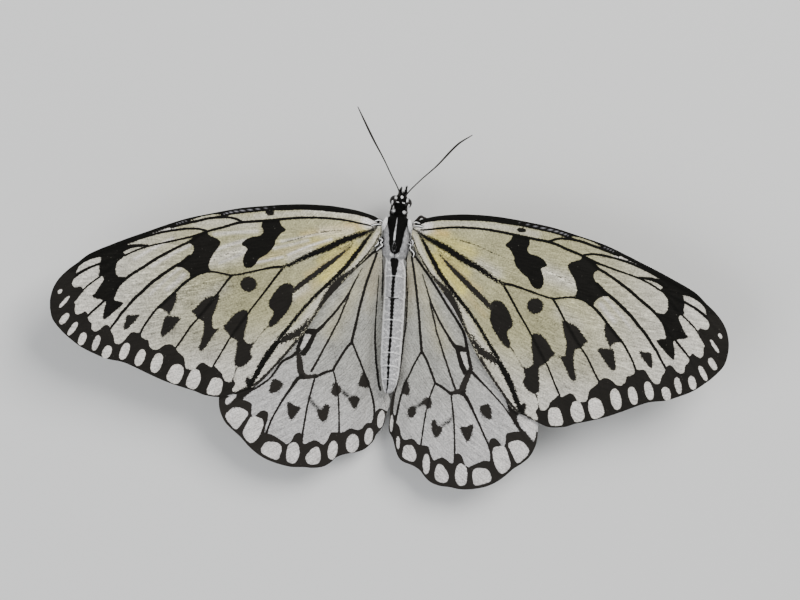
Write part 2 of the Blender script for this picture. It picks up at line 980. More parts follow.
@dataclass(frozen=True)
class Lay:
    """How a wing's own plan is swept to where the wing lies."""

    hinge: tuple
    turn: float = 0.0
    span: float = 1.0
    chord: float = 1.0
    shear: float = 0.0
    shift: tuple = (0.0, 0.0)
    reach: float = 8.0

    def place(self, plan: np.ndarray) -> np.ndarray:
        """Sweeps, stretches and shifts plan points about the hinge.

        Args:
            plan: Points of the wing's own plan.

        Returns:
            The points as they lie.
        """
        ds, dt = plan[:, 0] - self.hinge[0], plan[:, 1] - self.hinge[1]
        s, t = self.span * ds + self.shear * dt, self.shear * ds + self.chord * dt
        held = np.minimum(1.0, np.hypot(ds, dt) / self.reach)
        cosine, sine = math.cos(self.turn), math.sin(self.turn)
        return np.stack((self.hinge[0] + cosine * s - sine * t + held * self.shift[0],
                         self.hinge[1] + sine * s + cosine * t + held * self.shift[1]), axis=1)

    def own(self, lain: Points) -> list[tuple]:
        """Finds the own plan points that come to lie at given places.

        Args:
            lain: Places as they lie on the animal.

        Returns:
            The points of the wing's own plan.
        """
        target = np.array(lain, dtype=float)
        guess = target.copy()
        for _ in range(12):
            guess += target - self.place(guess)
        return [tuple(p) for p in guess]


@dataclass
class Pattern:
    """A wing's outline and all that is drawn on it."""

    outline: Points
    strokes: Sequence[Stroke]
    blots: Sequence[Blot]
    field: Points
    windows: Sequence[Points]
    spots: Sequence[Points]
    silvers: Sequence[Stroke] = ()
    tints: Sequence[Tint] = ()


@dataclass
class Wing:
    """One wing: a thin sheet with raised veins and scales in dark and pale."""

    name: str
    side: Side
    pattern: Pattern
    lay: Lay
    finish: WingFinish
    drop: float = 0.0
    outer_from: float = 22.0
    outer_over: float = 30.0
    rear_from: float = 15.0
    rear_over: float = 14.0
    bold: float = 1.22
    pitch: float = 0.2
    sheet: float = 0.13
    vein_height: float = 0.40
    vein_foot: float = 0.42
    billow: float = 0.26
    billow_reach: float = 1.3
    dish: float = 0.08
    free_band: float = 2.5
    wave: float = 0.09
    wave_band: float = 3.0
    wave_full: float = 40.0
    rib_levels: int = 24
    tuck_share: float = 0.62
    tuck_reach: float = 14.0
    tuck_line: Points = ((8.0, -1.6), (17.0, -11.0), (26.3, -23.8), (31.0, -34.0))
    loop: np.ndarray = field(default_factory=lambda: np.zeros((0, 2)))
    places: np.ndarray = field(default_factory=lambda: np.zeros((0, 2)))

    def build(self) -> bpy.types.Object:
        """Makes the wing.

        Returns:
            The finished piece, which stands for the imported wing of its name.
        """
        obj = self.trimmed_grid()
        mesh = obj.data
        self.places = coordinates(mesh)[:, :2]
        gap = self.mark(mesh)
        rib = np.sqrt(ramp(1.0 - (gap / self.vein_foot) ** 2))
        lain = self.lay.place(self.places)
        height = FRAME.lie(lain[:, 0], lain[:, 1]) - self.drop * (1.0 - self.tuck(self.places))
        margin = to_loop(self.places, self.loop, FAR)
        free = ramp(-margin / self.free_band)
        height += self.billow * (1.0 - bell(gap / self.billow_reach)) * free - self.dish * free
        lift = self.wave * np.sin(lain[:, 0] * 0.9 + lain[:, 1] * 0.35)
        lift *= ramp((self.wave_band + margin) / self.wave_band)
        height += lift * ramp(np.hypot(lain[:, 0], lain[:, 1]) / self.wave_full)
        put_coordinates(mesh, FRAME.world(self.side.value * lain[:, 0], lain[:, 1], height))
        self.grain(mesh)
        if self.side is Side.LEFT:
            mesh.flip_normals()
        group = obj.vertex_groups.new(name="rib")
        levels = np.round(rib * self.rib_levels).astype(int)
        for level in range(self.rib_levels + 1):
            group.add(np.flatnonzero(levels == level).tolist(), level / self.rib_levels, "REPLACE")
        apply_modifier(obj, "SOLIDIFY", thickness=self.vein_height * MM, offset=0.0,
                       vertex_group="rib", thickness_vertex_group=self.sheet / self.vein_height)
        obj.vertex_groups.clear()
        return settle(obj, self.finish.build(), (self.node(),), 40.0)

    def tuck(self, places: np.ndarray) -> np.ndarray:
        """How far the sheet rises to the wing over it along its front margin, as a share.

        Args:
            places: Points of the wing's own plan.

        Returns:
            The share of the drop that is taken back at each.
        """
        gap, _ = to_line(places, smooth_line(self.tuck_line, 0.5), self.tuck_reach)
        return self.tuck_share * ramp(1.0 - gap / self.tuck_reach) ** 0.7

    def node(self) -> str:
        """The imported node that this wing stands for."""
        return f"{self.name}_{self.side.word}"

    def trimmed_grid(self) -> bpy.types.Object:
        """Adds a fine grid over the wing's plan and trims it to the outline.

        Returns:
            The flat sheet.
        """
        self.loop = smooth_loop(self.pattern.outline, 0.12)
        low, high = self.loop.min(axis=0), self.loop.max(axis=0)
        size = high - low
        deselect()
        bpy.ops.mesh.primitive_grid_add(x_subdivisions=int(size[0] / self.pitch),
                                        y_subdivisions=int(size[1] / self.pitch), size=1.0)
        obj = bpy.context.object
        obj.name = f"{self.node()}_skin"
        obj.data.name = obj.name
        points = coordinates(obj.data)
        points[:, :2] = low + (points[:, :2] + 0.5) * size
        put_coordinates(obj.data, points)
        delete_points(obj, to_loop(points[:, :2], self.loop, 1.0) > 0.45 * self.pitch)
        self.snap_margin(obj.data)
        return obj

    def snap_margin(self, mesh: bpy.types.Mesh) -> None:
        """Moves the trimmed edge's points on to the outline.

        Args:
            mesh: The trimmed sheet.
        """
        edges = np.empty(len(mesh.loops), dtype=np.int32)
        mesh.loops.foreach_get("edge_index", edges)
        ends = np.empty(len(mesh.edges) * 2, dtype=np.int32)
        mesh.edges.foreach_get("vertices", ends)
        single = np.bincount(edges, minlength=len(mesh.edges)) == 1
        rim = np.unique(ends.reshape(-1, 2)[single])
        points = coordinates(mesh)
        starts, runs = self.loop[:-1], np.diff(self.loop, axis=0)
        for i in rim:
            offset = points[i, :2] - starts
            share = ramp((offset * runs).sum(axis=1) / (runs**2).sum(axis=1))
            feet = starts + runs * share[:, None]
            points[i, :2] = feet[np.linalg.norm(feet - points[i, :2], axis=1).argmin()]
        put_coordinates(mesh, points)

    def mark(self, mesh: bpy.types.Mesh) -> np.ndarray:
        """Draws the markings as numbers at each point.

        Args:
            mesh: The wing's sheet, still on its own plan.

        Returns:
            The distance to the nearest raised vein.
        """
        names = ("thin", "fray", "soft", "silver", "bright", "smudge", "warm", "tan", "silk")
        marks = {name: np.zeros(len(self.places)) for name in names}
        marks["ink"] = np.full(len(self.places), FAR)
        nearest, vein = self.draw_strokes(marks)
        self.draw_blots(marks, vein)
        self.draw_margin(marks)
        for stroke in self.pattern.silvers:
            gap, along = to_line(self.places, smooth_line(stroke.line, LINE_STEP), 2.0)
            self.deepen(marks, "silver", ramp(0.5 - (gap - spread(along, stroke.widths) / 2) / 0.12))
        for tint in self.pattern.tints:
            gap, _ = to_line(self.places, smooth_line(tint.line, 0.5), 3.2 * tint.reach)
            self.deepen(marks, tint.hue, tint.depth * bell(gap / tint.reach))
        root = np.hypot(self.places[:, 0] - self.lay.hinge[0], self.places[:, 1] - self.lay.hinge[1])
        outer = np.maximum(ramp((root - self.outer_from) / self.outer_over),
                           ramp((-self.places[:, 1] - self.rear_from) / self.rear_over))
        marks["outer"] = outer**2 * (3.0 - 2.0 * outer)
        for name, values in marks.items():
            store(mesh, name, values)
        return nearest

    def deepen(self, marks: Marks, name: str, values: np.ndarray) -> None:
        """Raises one of the numbers where the new values are higher."""
        marks[name] = np.maximum(marks[name], values)

    def away_from(self, loop: Points, step: float, reach: float) -> np.ndarray:
        """Signed distance of each point to a drawn loop, below zero inside it."""
        return to_loop(self.places, smooth_loop(loop, step), reach)

    def draw_strokes(self, marks: Marks) -> tuple[np.ndarray, np.ndarray]:
        """Draws the veins and streaks.

        Args:
            marks: The numbers at each point.

        Returns:
            The distance to the nearest raised vein, and 1 where a raised vein is full black.
        """
        nearest, vein = np.full(len(self.places), FAR), np.zeros(len(self.places))
        for stroke in self.pattern.strokes:
            gap, along = to_line(self.places, smooth_line(stroke.line, LINE_STEP), 4.0)
            away = gap - spread(along, stroke.widths) / 2 * self.bold
            near = ramp(1.2 - away / 0.5)
            self.deepen(marks, "thin", stroke.thin * near)
            self.deepen(marks, "fray", stroke.fray * near)
            marks["ink"] = np.minimum(marks["ink"], away)
            if stroke.raised:
                nearest = np.minimum(nearest, gap)
                vein = np.maximum(vein, ramp(1.0 - away / 0.15) * (stroke.thin < 0.3))
        return nearest, vein

    def draw_blots(self, marks: Marks, vein: np.ndarray) -> None:
        """Draws the blots, which are thinner than the black veins that cross them.

        Args:
            marks: The numbers at each point.
            vein: 1 where a raised vein is full black.
        """
        for blot in self.pattern.blots:
            away = self.away_from(blot.loop, LOOP_STEP, 2.0)
            self.deepen(marks, "thin", blot.thin * ramp(0.5 - away / 0.5))
            self.deepen(marks, "soft", blot.thin * ramp(1.0 - np.abs(away) / 0.7))
            marks["ink"] = np.minimum(marks["ink"], away)
        for name in ("thin", "soft"):
            marks[name] *= 1.0 - 0.8 * vein

    def draw_margin(self, marks: Marks) -> None:
        """Draws the dark margin outside the pale field, with its windows and white spots.

        Args:
            marks: The numbers at each point.
        """
        inward = -self.away_from(self.pattern.field, LOOP_STEP, 3.0)
        rearward = ramp(-2 - self.places[:, 1] / 3)
        self.deepen(marks, "thin", 0.6 * ramp(0.5 - inward / 0.5) * rearward)
        marks["ink"] = np.minimum(marks["ink"], inward)
        for window in self.pattern.windows:
            self.deepen(marks, "ink", -self.away_from(window, SPOT_STEP, 2.0))
        for spot in self.pattern.spots:
            away = self.away_from(spot, SPOT_STEP, 2.0)
            self.deepen(marks, "ink", -away)
            self.deepen(marks, "bright", 0.65 * ramp(0.5 - away / 0.3))

    def grain(self, mesh: bpy.types.Mesh) -> None:
        """Lays a map whose lines fan out from the wing's root, in millimetres.

        Args:
            mesh: The wing's sheet.
        """
        s, t = self.places[:, 0] - self.lay.hinge[0], self.places[:, 1] - self.lay.hinge[1]
        radius = np.hypot(s, t)
        turn = np.unwrap(np.arctan2(t, s))
        fan = np.stack((turn * (14.0 + 0.35 * radius), radius), axis=1)
        corners = np.empty(len(mesh.loops), dtype=np.int32)
        mesh.loops.foreach_get("vertex_index", corners)
        layer = mesh.uv_layers.new(name="Grain")
        layer.data.foreach_set("uv", fan[corners].astype(np.float32).ravel())


# Both forewings, drawn as the right one lies
FORE_OUTLINE = (
    (2.75, 3), (4, 4.15), (6, 4.95), (8, 5.5), (12, 6.15), (15, 6.35), (18, 6.4), (22, 6.2), (25, 5.9),
    (30, 5.3), (35, 4.2), (40, 3), (45, 1.2), (48, 0), (52, -1.6), (55, -2.9), (57, -3.8), (59, -4.9),
    (61, -6.6), (62.5, -7.8), (64, -9.3), (65, -10.7), (65.7, -12.3), (66.1, -14.5), (65.9, -17),
    (65.3, -18.6), (63.6, -20.7), (62.3, -21.9), (60, -23.7), (57, -25.2), (55, -26), (52, -26.6),
    (50, -27.4), (46.5, -29.1), (43.3, -30.5), (40, -31.6), (38, -32.2), (36, -33), (33, -33.3), (31, -32.7),
    (28.5, -31.7), (26.5, -31), (25, -29.8), (23.5, -28), (20.8, -24.8), (18.2, -21.4), (16, -17.9),
    (14, -14.6), (12, -11.6), (10, -9.25), (8.5, -7.5), (6, -4.6), (4.2, -1.8), (3.2, 0.2), (2.85, 1.6),
)

FORE_STROKES = (
    Stroke(((3.6, 3.2), (6, 4.5), (8, 5.05), (12, 5.7), (15, 5.95), (18, 6), (22, 5.8), (25, 5.5), (30, 4.9),
            (35, 3.8), (40, 2.6), (45, 0.8), (48, -0.4), (52, -2), (55, -3.3), (57, -4.2), (59, -5.3),
            (61, -7), (62.5, -8.2)), (0.5, 0.6)),
    Stroke(((4.6, 2.35), (5.5, 2.5), (7, 2.8), (9, 3.2), (11, 3.5), (14, 3.7), (17, 3.7), (20, 3.5),
            (22.5, 3.2), (25, 2.9), (27, 2.7), (29.5, 2.45), (31, 2.1), (33, 1.4), (35, 0.8), (36.5, 0.3),
            (38, -0.3), (39.5, -0.8), (43, -1.75), (47, -2.75), (48.3, -3.2), (50, -3.9), (51.8, -4.8)),
           (0.32, 0.42, 0.46, 0.5, 0.5, 0.42, 0.34, 0.34)),
    Stroke(((51.8, -4.8), (54, -5.6), (56.3, -6.5), (57.5, -7), (59, -7.7), (61, -9), (64.2, -11.8)),
           (0.35, 0.4, 0.52, 0.55)),
    Stroke(((29.7, 2.6), (31, 3.15), (32.5, 3.35), (34, 3.3), (36, 3.05), (38, 2.5), (40, 2), (42, 1.45),
            (43.2, 1.1)), (0.42, 0.46)),
    Stroke(((36.6, 0.6), (38, 0.87), (40, 0.85), (42, 0.6), (44, 0.22), (46, -0.32), (48, -0.97),
            (50, -1.75), (51.3, -2.3)), (0.42, 0.44, 0.38)),
    Stroke(((47.6, -2.72), (49, -2.78), (50.5, -2.95), (51.8, -3.35), (52.9, -4)), (0.3, 0.55, 0.8, 0.9)),
    Stroke(((20, 5.3), (23, 5.2), (26, 4.9), (30, 4.4), (32.5, 3.9), (33.5, 3.45)), (0.36, 0.42)),
    Stroke(((4, 2.1), (5, 1.45), (6, 0.95), (7, 0.55), (8, 0.15), (9, -0.3), (10, -0.72), (12, -1.8),
            (14, -2.8), (16, -3.65), (18, -4.7), (20, -5.85), (21.5, -6.4)),
           (0.45, 0.95, 1.12, 1.15, 1.1, 1, 0.75, 0.55), 0, 0.6),
    Stroke(((8.2, -1.2), (9.4, -1.95), (11, -2.6)), (0.04, 0.1, 0.04), 0.9, 1.4, 0),
    Stroke(((21.5, -6.4), (23.5, -6.6), (26, -7.2), (28, -7.7), (31.3, -8.4), (33, -8.1), (35, -7.8),
            (36.5, -7.9)), (0.5, 0.36, 0.36)),
    Stroke(((21.5, -6.6), (22.5, -8), (24, -10.2), (25.5, -12.4), (27, -14.5), (28, -16), (31.5, -21.3),
            (32.5, -23.2), (33.6, -25.3), (34.5, -27), (36.2, -32.6)), (0.45, 0.34, 0.34, 0.3)),
    Stroke(((31.3, -8.4), (32.3, -9.7), (33.3, -11.2), (34, -12.3), (37.8, -17.5), (39, -19), (40, -20.6),
            (41, -22.3), (41.8, -23.5), (44.2, -29.8)), (0.4, 0.36, 0.34)),
    Stroke(((36.5, -7.9), (37.5, -8.2), (39, -9.1), (40.5, -10.3), (42, -11.9), (43.3, -13.2), (44.7, -14.7),
            (45.8, -15.8), (46.6, -17), (47.6, -18.5), (48.5, -20.3), (50.7, -27)),
           (0.5, 0.5, 0.42, 0.34, 0.26)),
    Stroke(((39.6, -4.7), (41, -6), (42.5, -7), (44, -8.1), (45.5, -9.3), (47, -10.6), (48.5, -12.2),
            (50, -13.7), (51, -15), (52.3, -16.6), (53.3, -18.2), (54.3, -19.6), (57.5, -24.8)),
           (0.5, 0.6, 0.55, 0.42, 0.28)),
    Stroke(((38, -0.5), (39.8, -1.9), (41, -2.5), (43, -3.6), (45, -4.8), (46.5, -5.8), (48, -6.9),
            (50, -8.3), (51.3, -9.3), (52.5, -10.5), (55.2, -13.6), (56.5, -15), (58.3, -16.8),
            (62.3, -21.2)), (0.42, 0.55, 0.52, 0.4, 0.3)),
    Stroke(((52.2, -4.9), (55.2, -7.9), (56.5, -9.2), (58, -10.4), (59.5, -11.8), (61.3, -14.2),
            (64.8, -18.4)), (0.36, 0.26)),
    Stroke(((4.1, 1.9), (4.7, 1.1), (5.55, -0.1), (6.3, -1.35), (7.1, -2.6), (8.1, -4.1), (9.1, -5.6),
            (10.1, -6.8), (11.1, -7.9), (13, -9.9), (15, -12), (17, -14.3), (18.6, -16.4), (20.3, -18.8),
            (21.8, -21), (23.1, -23), (24.2, -24.7), (25.2, -26.4), (26, -28.1), (26.9, -29.8), (27.7, -31)),
           (0.35, 0.72, 0.82, 0.76, 0.66, 0.6, 0.6, 0.8, 1.1, 0.9, 0.85), 0.25, 0.35),
    Stroke(((8.6, -2), (9.5, -2.75), (11, -4.15), (12, -5), (13, -5.85), (15, -7.5), (17, -9.1),
            (19.4, -11.2)), (0.22, 0.5, 0.8, 0.9, 0.95, 0.9, 0.8), 0.8, 0.35, 0),
    Stroke(((3.05, 1.2), (3.5, 0.1), (4.4, -1.75), (6.2, -4.4), (7.6, -6.2), (8.8, -7.6)),
           (0.24, 0.28, 0.32, 0.4, 0.6), 0.3, 0.2, 0),
    Stroke(((7.9, -6.3), (9, -7.4), (10.6, -8.9), (12.1, -10.9), (13.7, -13.4), (15.1, -15.9)),
           (0.3, 0.85, 1.3, 1.25, 0.8, 0.5), 0.9, 0.5, 0),
    Stroke(((14.6, -15.2), (16.3, -17.8), (18.4, -21.2), (21, -24.6), (23.7, -27.9), (25.2, -29.6),
            (26.6, -30.8), (28.6, -31.6), (30.9, -32.6)), (0.5, 0.55, 0.5, 0.5, 0.5, 0.6, 0.5, 0.2), 0.8,
           0.25, 0),
    Stroke(((16.4, -17), (17.6, -18.9), (19, -20.2), (20.4, -20.9), (21.6, -21.6)),
           (0.4, 0.8, 1.2, 1.35, 1.1), 0.9, 0.8, 0),
    Stroke(((10, 1.3), (11, 1.15), (12.5, 1.1), (14, 0.8), (15.5, 0.5), (17, 0), (18, -0.4), (19.5, -0.85),
            (21.5, -1.5)), (0.08, 0.17, 0.13, 0.16, 0.06), 0.5, 0.1, 0),
    Stroke(((29.5, -3), (32, -4), (35.5, -5.6)), (0.08, 0.12, 0.08), 0.6, 0.1, 0),
    Stroke(((24, -18.4), (25.3, -20), (26.8, -22.2)), (0.3, 0.1, 0.2), 0.6, 0.05, 0),
    Stroke(((30, -27.2), (30.4, -28.6), (30.8, -30)), (0.3, 0.12, 0.3), 0.6, 0.05, 0),
)

FORE_BLOTS = (
    Blot(((22.5, 3), (22.2, 2.2), (21.2, 1), (22, 0.4), (23.1, -1.2), (23.2, -2), (24, -3.2), (25, -4.2),
          (26.2, -5), (26.8, -6), (27.4, -6.6), (28.2, -6.9), (29, -6.6), (29.3, -5.4), (29, -4), (28.5, -3),
          (28.9, -2.6), (29.6, -2.2), (29.4, -1.6), (28.6, -0.9), (27.3, -0.4), (26.2, -0.2), (25.6, 0.4),
          (25.5, 0.9), (25.9, 1.6), (25.8, 2.3), (25.4, 2.9)), 0.1),
    Blot(oval((28.1, -10.15), (1.62, 1.58)), 0.5),
    Blot(((36.2, 0.2), (36, -0.3), (34.8, -0.8), (34, -1.2), (33.6, -1.9), (34.3, -3.2), (35, -4.2),
          (35.5, -5.4), (35.8, -6.6), (35.6, -7.5), (36.5, -7.9), (38, -8.4), (39.3, -9.2), (39.4, -8.4),
          (40, -7.7), (41, -7.1), (42, -6.9), (41.5, -6), (40.5, -5.3), (39.6, -4.7), (38.9, -3.7),
          (38.8, -2.8), (39.4, -2.2), (40, -2.1), (39.5, -1.5), (38.5, -0.9), (36.8, 0.2)), 0.2),
    Blot(((19.3, -10.8), (20, -9.9), (21.2, -9.8), (22.3, -10.6), (23.3, -12), (24, -13.3), (24.1, -14.6),
          (23.3, -15.4), (23.3, -16.3), (24.1, -18), (23.8, -18.8), (22.7, -18.2), (21.6, -17),
          (20.4, -15.4), (19.7, -13.9), (19.6, -12.5)), 0.45),
    Blot(((28.2, -15.6), (29, -15.4), (30.2, -15.9), (31.3, -16.9), (32.2, -18.2), (32.8, -18.9),
          (32.2, -19.8), (31.4, -20.9), (30.2, -21.7), (28.9, -21.9), (28.6, -20), (28.2, -18.5),
          (28, -17.2)), 0.6),
    Blot(((26.8, -22), (27.6, -22.3), (28.6, -21.6), (29.9, -21.2), (30.1, -23), (30.4, -25), (30.5, -26.3),
          (30, -27.1), (29.5, -27.2), (28.4, -26.7), (27.5, -25.8), (27, -25), (27.4, -24.2), (27.2, -23.2)),
         0.6),
    Blot(((33.6, -12.5), (34.2, -12.4), (35.2, -12.8), (36.3, -13.2), (37.5, -14.3), (38.3, -15.3),
          (39, -16), (38.3, -16.6), (37.9, -17.3), (37.2, -17.6), (36.6, -18.1), (36.4, -19.6),
          (34.9, -19.6), (34.8, -17), (34.3, -15.5), (33.8, -14)), 0.6),
    Blot(((33.4, -19.3), (34, -19.4), (35, -19), (36.4, -19), (36.6, -20.3), (37, -22), (37.4, -23.4),
          (37.1, -23.9), (36.3, -23.6), (35.3, -22), (34.4, -20.5)), 0.6),
    Blot(((42.1, -12.1), (41.8, -13), (41.9, -14), (42.4, -15.3), (42.9, -16.2), (43.3, -16.9),
          (43.7, -16.2), (44.5, -15.8), (45.2, -15.5), (44.2, -14.1)), 0.6),
    Blot(((40.9, -17.5), (41.5, -17.1), (43, -17), (44, -17.2), (44.4, -18.7), (44.8, -20.5), (44.5, -21.3),
          (43.8, -21), (42.6, -19.7), (41.6, -18.5)), 0.6),
    Blot(((48.9, -16.9), (50, -17), (51.2, -17), (51.7, -18.5), (51.8, -20), (51.3, -20), (50.3, -19),
          (49.3, -17.8)), 0.6),
    Blot(((52, -4.9), (52.8, -5.6), (53.4, -6.6), (53.6, -7.8), (53.3, -9), (52.5, -9.3), (51.4, -9.2),
          (52.3, -10.5), (53, -11.7), (53.6, -13.3), (53.8, -14), (52.9, -14.2), (52, -14.6), (53.5, -16.2),
          (54.8, -17.4), (55.7, -18), (55.9, -17.4), (55.6, -15.5), (55.4, -14.3), (56.2, -14), (58, -13.4),
          (57.3, -12.4), (56.5, -11), (55.9, -9.8), (56.3, -9.2), (57, -9), (56.7, -8.3), (56.8, -7.4),
          (56.6, -6.3), (56.3, -5.3), (54.5, -4.2), (52.6, -3.8)), 0.15),
    Blot(oval((27.5, -30.3), (0.7, 1.25), -25), 0.5),
)

FORE_FIELD = (
    (0, 5), (3.9, 3.5), (5, 3.8), (6, 4.05), (8, 4.5), (10, 4.75), (12, 4.9), (15, 5.12), (18, 5.2),
    (20, 5.15), (22, 5.05), (24, 4.9), (26, 4.7), (28, 4.5), (30, 4.2), (32, 3.8), (33.4, 3.4), (35, 3.15),
    (37, 2.65), (39, 2.05), (41, 1.5), (42.4, 1.1), (43.4, 1.05), (45, 0.62), (46.5, 0.15), (48, -0.5),
    (48.4, -0.95), (50, -1.6), (51.1, -2.15), (51.7, -3.2), (52.8, -4.3), (54, -5.1), (56.2, -5.35),
    (57.5, -5.55), (59, -6.15), (60.5, -7.2), (61, -8.1), (61.3, -9.2), (61.9, -10.8), (61.4, -11.6),
    (60.3, -11.4), (59.9, -11.8), (60.4, -12.9), (61, -14.2), (61.4, -14.6), (61.2, -15.2), (61.3, -16.4),
    (60.9, -17.1), (60, -16.8), (59.3, -16.4), (58.7, -17.1), (58.7, -18.1), (58, -19), (58, -20),
    (57.4, -20.5), (56.5, -20.1), (55.7, -19.3), (55, -19.1), (54.4, -19.6), (54.2, -20.6), (53.8, -21.2),
    (53.4, -22.8), (52.6, -22.9), (52, -22.5), (51.2, -21.5), (50.5, -20.6), (49.9, -20.4), (49.3, -20.6),
    (48.6, -20.5), (48.4, -21.3), (47.7, -21.9), (47, -22), (46.9, -23), (46.3, -23.8), (45.3, -23.9),
    (44.4, -23.2), (43.7, -22.8), (42.6, -22.8), (41.8, -23.5), (41.4, -24.2), (40.7, -24.8), (40.1, -25.6),
    (39.9, -27), (39.6, -27.7), (38.7, -27.8), (37.9, -27.5), (37.3, -26.7), (36.5, -26.3), (35.8, -26.7),
    (35, -27.2), (34.3, -27), (33.5, -27.8), (32.8, -28.5), (32.5, -29.5), (32, -30.1), (31.2, -30.2),
    (30.5, -29.9), (30.2, -30.6), (30.8, -31.9), (30.3, -32.2), (29, -31.7), (28, -31), (27, -33), (15, -25),
    (0, -6), (0.5, 2),
)

FORE_WINDOWS = (
    ((33.7, 3.85), (35.2, 3.85), (36.8, 3.5), (38.3, 3.05), (39.8, 2.45), (38.2, 2.75), (36.3, 3.3),
     (34.6, 3.58)),
)

FORE_MARGIN = (
    capsule((63.9, -12.05), (64.5, -12.95), 0.32),
    capsule((62.4, -13.4), (64.3, -15.8), 0.30),
    capsule((62.5, -17), (64.1, -19.1), 0.60),
    capsule((60.8, -18.7), (62.5, -21.4), 0.50),
    capsule((59.3, -20.8), (60.2, -23.3), 0.68),
    capsule((56.6, -21.3), (57.6, -24.4), 0.60),
    capsule((54.5, -23.4), (55.5, -25.9), 0.80),
    capsule((51, -22.7), (52.2, -26.1), 0.78),
    capsule((48, -24), (49.2, -27.3), 0.82),
    capsule((44.8, -24.7), (46, -28.6), 0.98),
    ((40.4, -27.3), (41.2, -26.8), (42.3, -27.1), (43.1, -28.4), (43.4, -29.7), (42.6, -30.5), (41.4, -30.8),
     (40.7, -29.9), (40.2, -28.4)),
    ((37, -28.6), (37.3, -27.9), (38.3, -27.8), (39, -28.6), (39.7, -30.6), (39.2, -31.5), (38.1, -31.8),
     (37.3, -30.9), (36.9, -29.8)),
    ((32.7, -30.1), (33.2, -29.5), (34.5, -29.5), (35.1, -30.4), (35.7, -32.3), (35.2, -32.8), (33.5, -32.9),
     (33, -32.4), (32.7, -31.2)),
)

FORE_SILVERS = (
    Stroke(((19, 5.95), (22, 5.76), (25, 5.42), (28, 5.02), (30, 4.74), (32, 4.36), (33.2, 4.02)),
           (-0.3, -0.1, 0.03, 0.08, 0.08)),
    Stroke(((40.2, 2.45), (41, 2.2), (42.5, 1.65)), (0, 0.04, -0.02)),
)

FORE_TINTS = (
    Tint("bright", ((3.4, 3.4), (4.6, 3.2), (6, 3.3)), 1.3, 1),
    Tint("bright", ((4.4, 2.2), (5.6, 2.3)), 0.8, 0.8),
    Tint("bright", ((6, 3.5), (12, 4.3), (20, 4.4), (27, 3.6)), 0.8, 0.35),
    Tint("bright", ((3.6, 0.9), (4.4, -0.8), (5.6, -2.9), (7.2, -5.2), (9, -7.2)), 0.75, 0.45),
    Tint("smudge", ((9.9, -7.9), (11.3, -9.6), (12.6, -11.6)), 0.42, 0.5),
    Tint("smudge", ((9.5, -3.5), (12.5, -3.3), (15.5, -4.9)), 0.9, 0.16),
    Tint("smudge", ((24, -9), (28, -13), (32, -15)), 3.5, 0.14),
    Tint("smudge", ((30, -20), (35, -23), (41, -21)), 3, 0.16),
    Tint("smudge", ((40, -5), (44, -9), (50, -13)), 3.5, 0.10),
    Tint("bright", ((42.6, 0.95), (45, 0.3), (47.6, -0.5)), 0.35, 0.8),
    Tint("bright", ((40.6, -8.6), (42, -10.2), (43.6, -11.6)), 0.5, 0.6),
    Tint("bright", ((41, -6.9), (44, -9.6), (47, -12.8)), 0.3, 0.5),
    Tint("bright", ((10.6, -8.3), (13.2, -11.4), (15.8, -15.2), (17.8, -18.4), (22.4, -22.2)), 1.1, 0.45),
    Tint("warm", ((8, -2.6), (10.5, -5.4), (13.5, -8.6)), 1.3, 0.85),
    Tint("warm", ((8.2, -1), (11, -2.7), (14.5, -5)), 0.8, 0.6),
    Tint("warm", ((6.5, 1.5), (10, 0.9), (15, -1)), 1.4, 0.55),
    Tint("tan", ((7.2, 2.3), (9.6, 2.1)), 0.8, 0.75),
    Tint("tan", ((9.5, -2.9), (13, -5.4), (17, -8)), 0.7, 0.35),
    Tint("tan", ((15, -9.6), (18.5, -12.8)), 0.8, 0.25),
    Tint("bright", ((29, -3.4), (32, -4.3), (35.5, -5.2)), 1.8, 0.45),
    Tint("bright", ((16.5, -3.2), (20, -4.6)), 1.2, 0.35),
    Tint("bright", ((33, -10.8), (36.5, -13.2)), 1.4, 0.25),
    Tint("silk", ((7, 2.6), (12, 1.7), (18, 1.4)), 2, 0.45),
    Tint("silk", ((30, -3.4), (35, -5.8)), 2.2, 1),
    Tint("silk", ((40, -4), (46, -8), (51, -13)), 2.4, 1),
    Tint("silk", ((36, -9.5), (42, -13), (46, -18)), 2.4, 1),
    Tint("silk", ((16, -2.8), (20, -4.2), (24, -5.2)), 1.6, 0.8),
    Tint("silk", ((47, -19), (56, -16), (59, -10)), 3, 0.4),
)

# Both hindwings, drawn as the right one lies; what is right or left is its own, as it lies
HIND_OUTLINE = (
    (3.2, -0.9), (8, -1.6), (12, -5), (17, -11), (22, -17.5), (26.3, -23.8), (29, -28.2), (30.6, -31.6),
    (31, -34), (31, -36.5), (30.6, -38.1), (29.8, -39.7), (28.5, -41), (27, -42.2), (25.5, -43.8),
    (24, -45.1), (22.3, -46.1), (20.5, -46.7), (18.5, -47.1), (17, -47.2), (15, -47), (13, -46.9),
    (11.3, -46.4), (10, -45.4), (9, -44.3), (7.5, -43.5), (5.5, -42.9),
)
RIGHT_HIND_INNER = (
    (4.6, -42.2), (3.9, -40.8), (3.1, -38.6), (2.2, -37.2), (2.1, -34.8), (2, -32.5), (2.1, -30.8),
    (2.4, -29.3), (3, -26.3), (3.15, -21), (3.05, -15), (2.75, -10), (2.5, -6.5), (2.55, -3.2), (2.7, -2),
)
LEFT_HIND_INNER = (
    (2.4, -41.4), (1.5, -40.6), (0.6, -39.4), (0.25, -38.3), (-0.5, -37.2), (-1.15, -35.8), (-1.3, -34.2),
    (-1.75, -32.4), (-1.85, -31.2), (-1.1, -29.6), (0, -27.6), (0.6, -25), (1, -20), (1.25, -13),
    (1.5, -9.2), (1.8, -6.4), (2.4, -3.2), (2.6, -2),
)

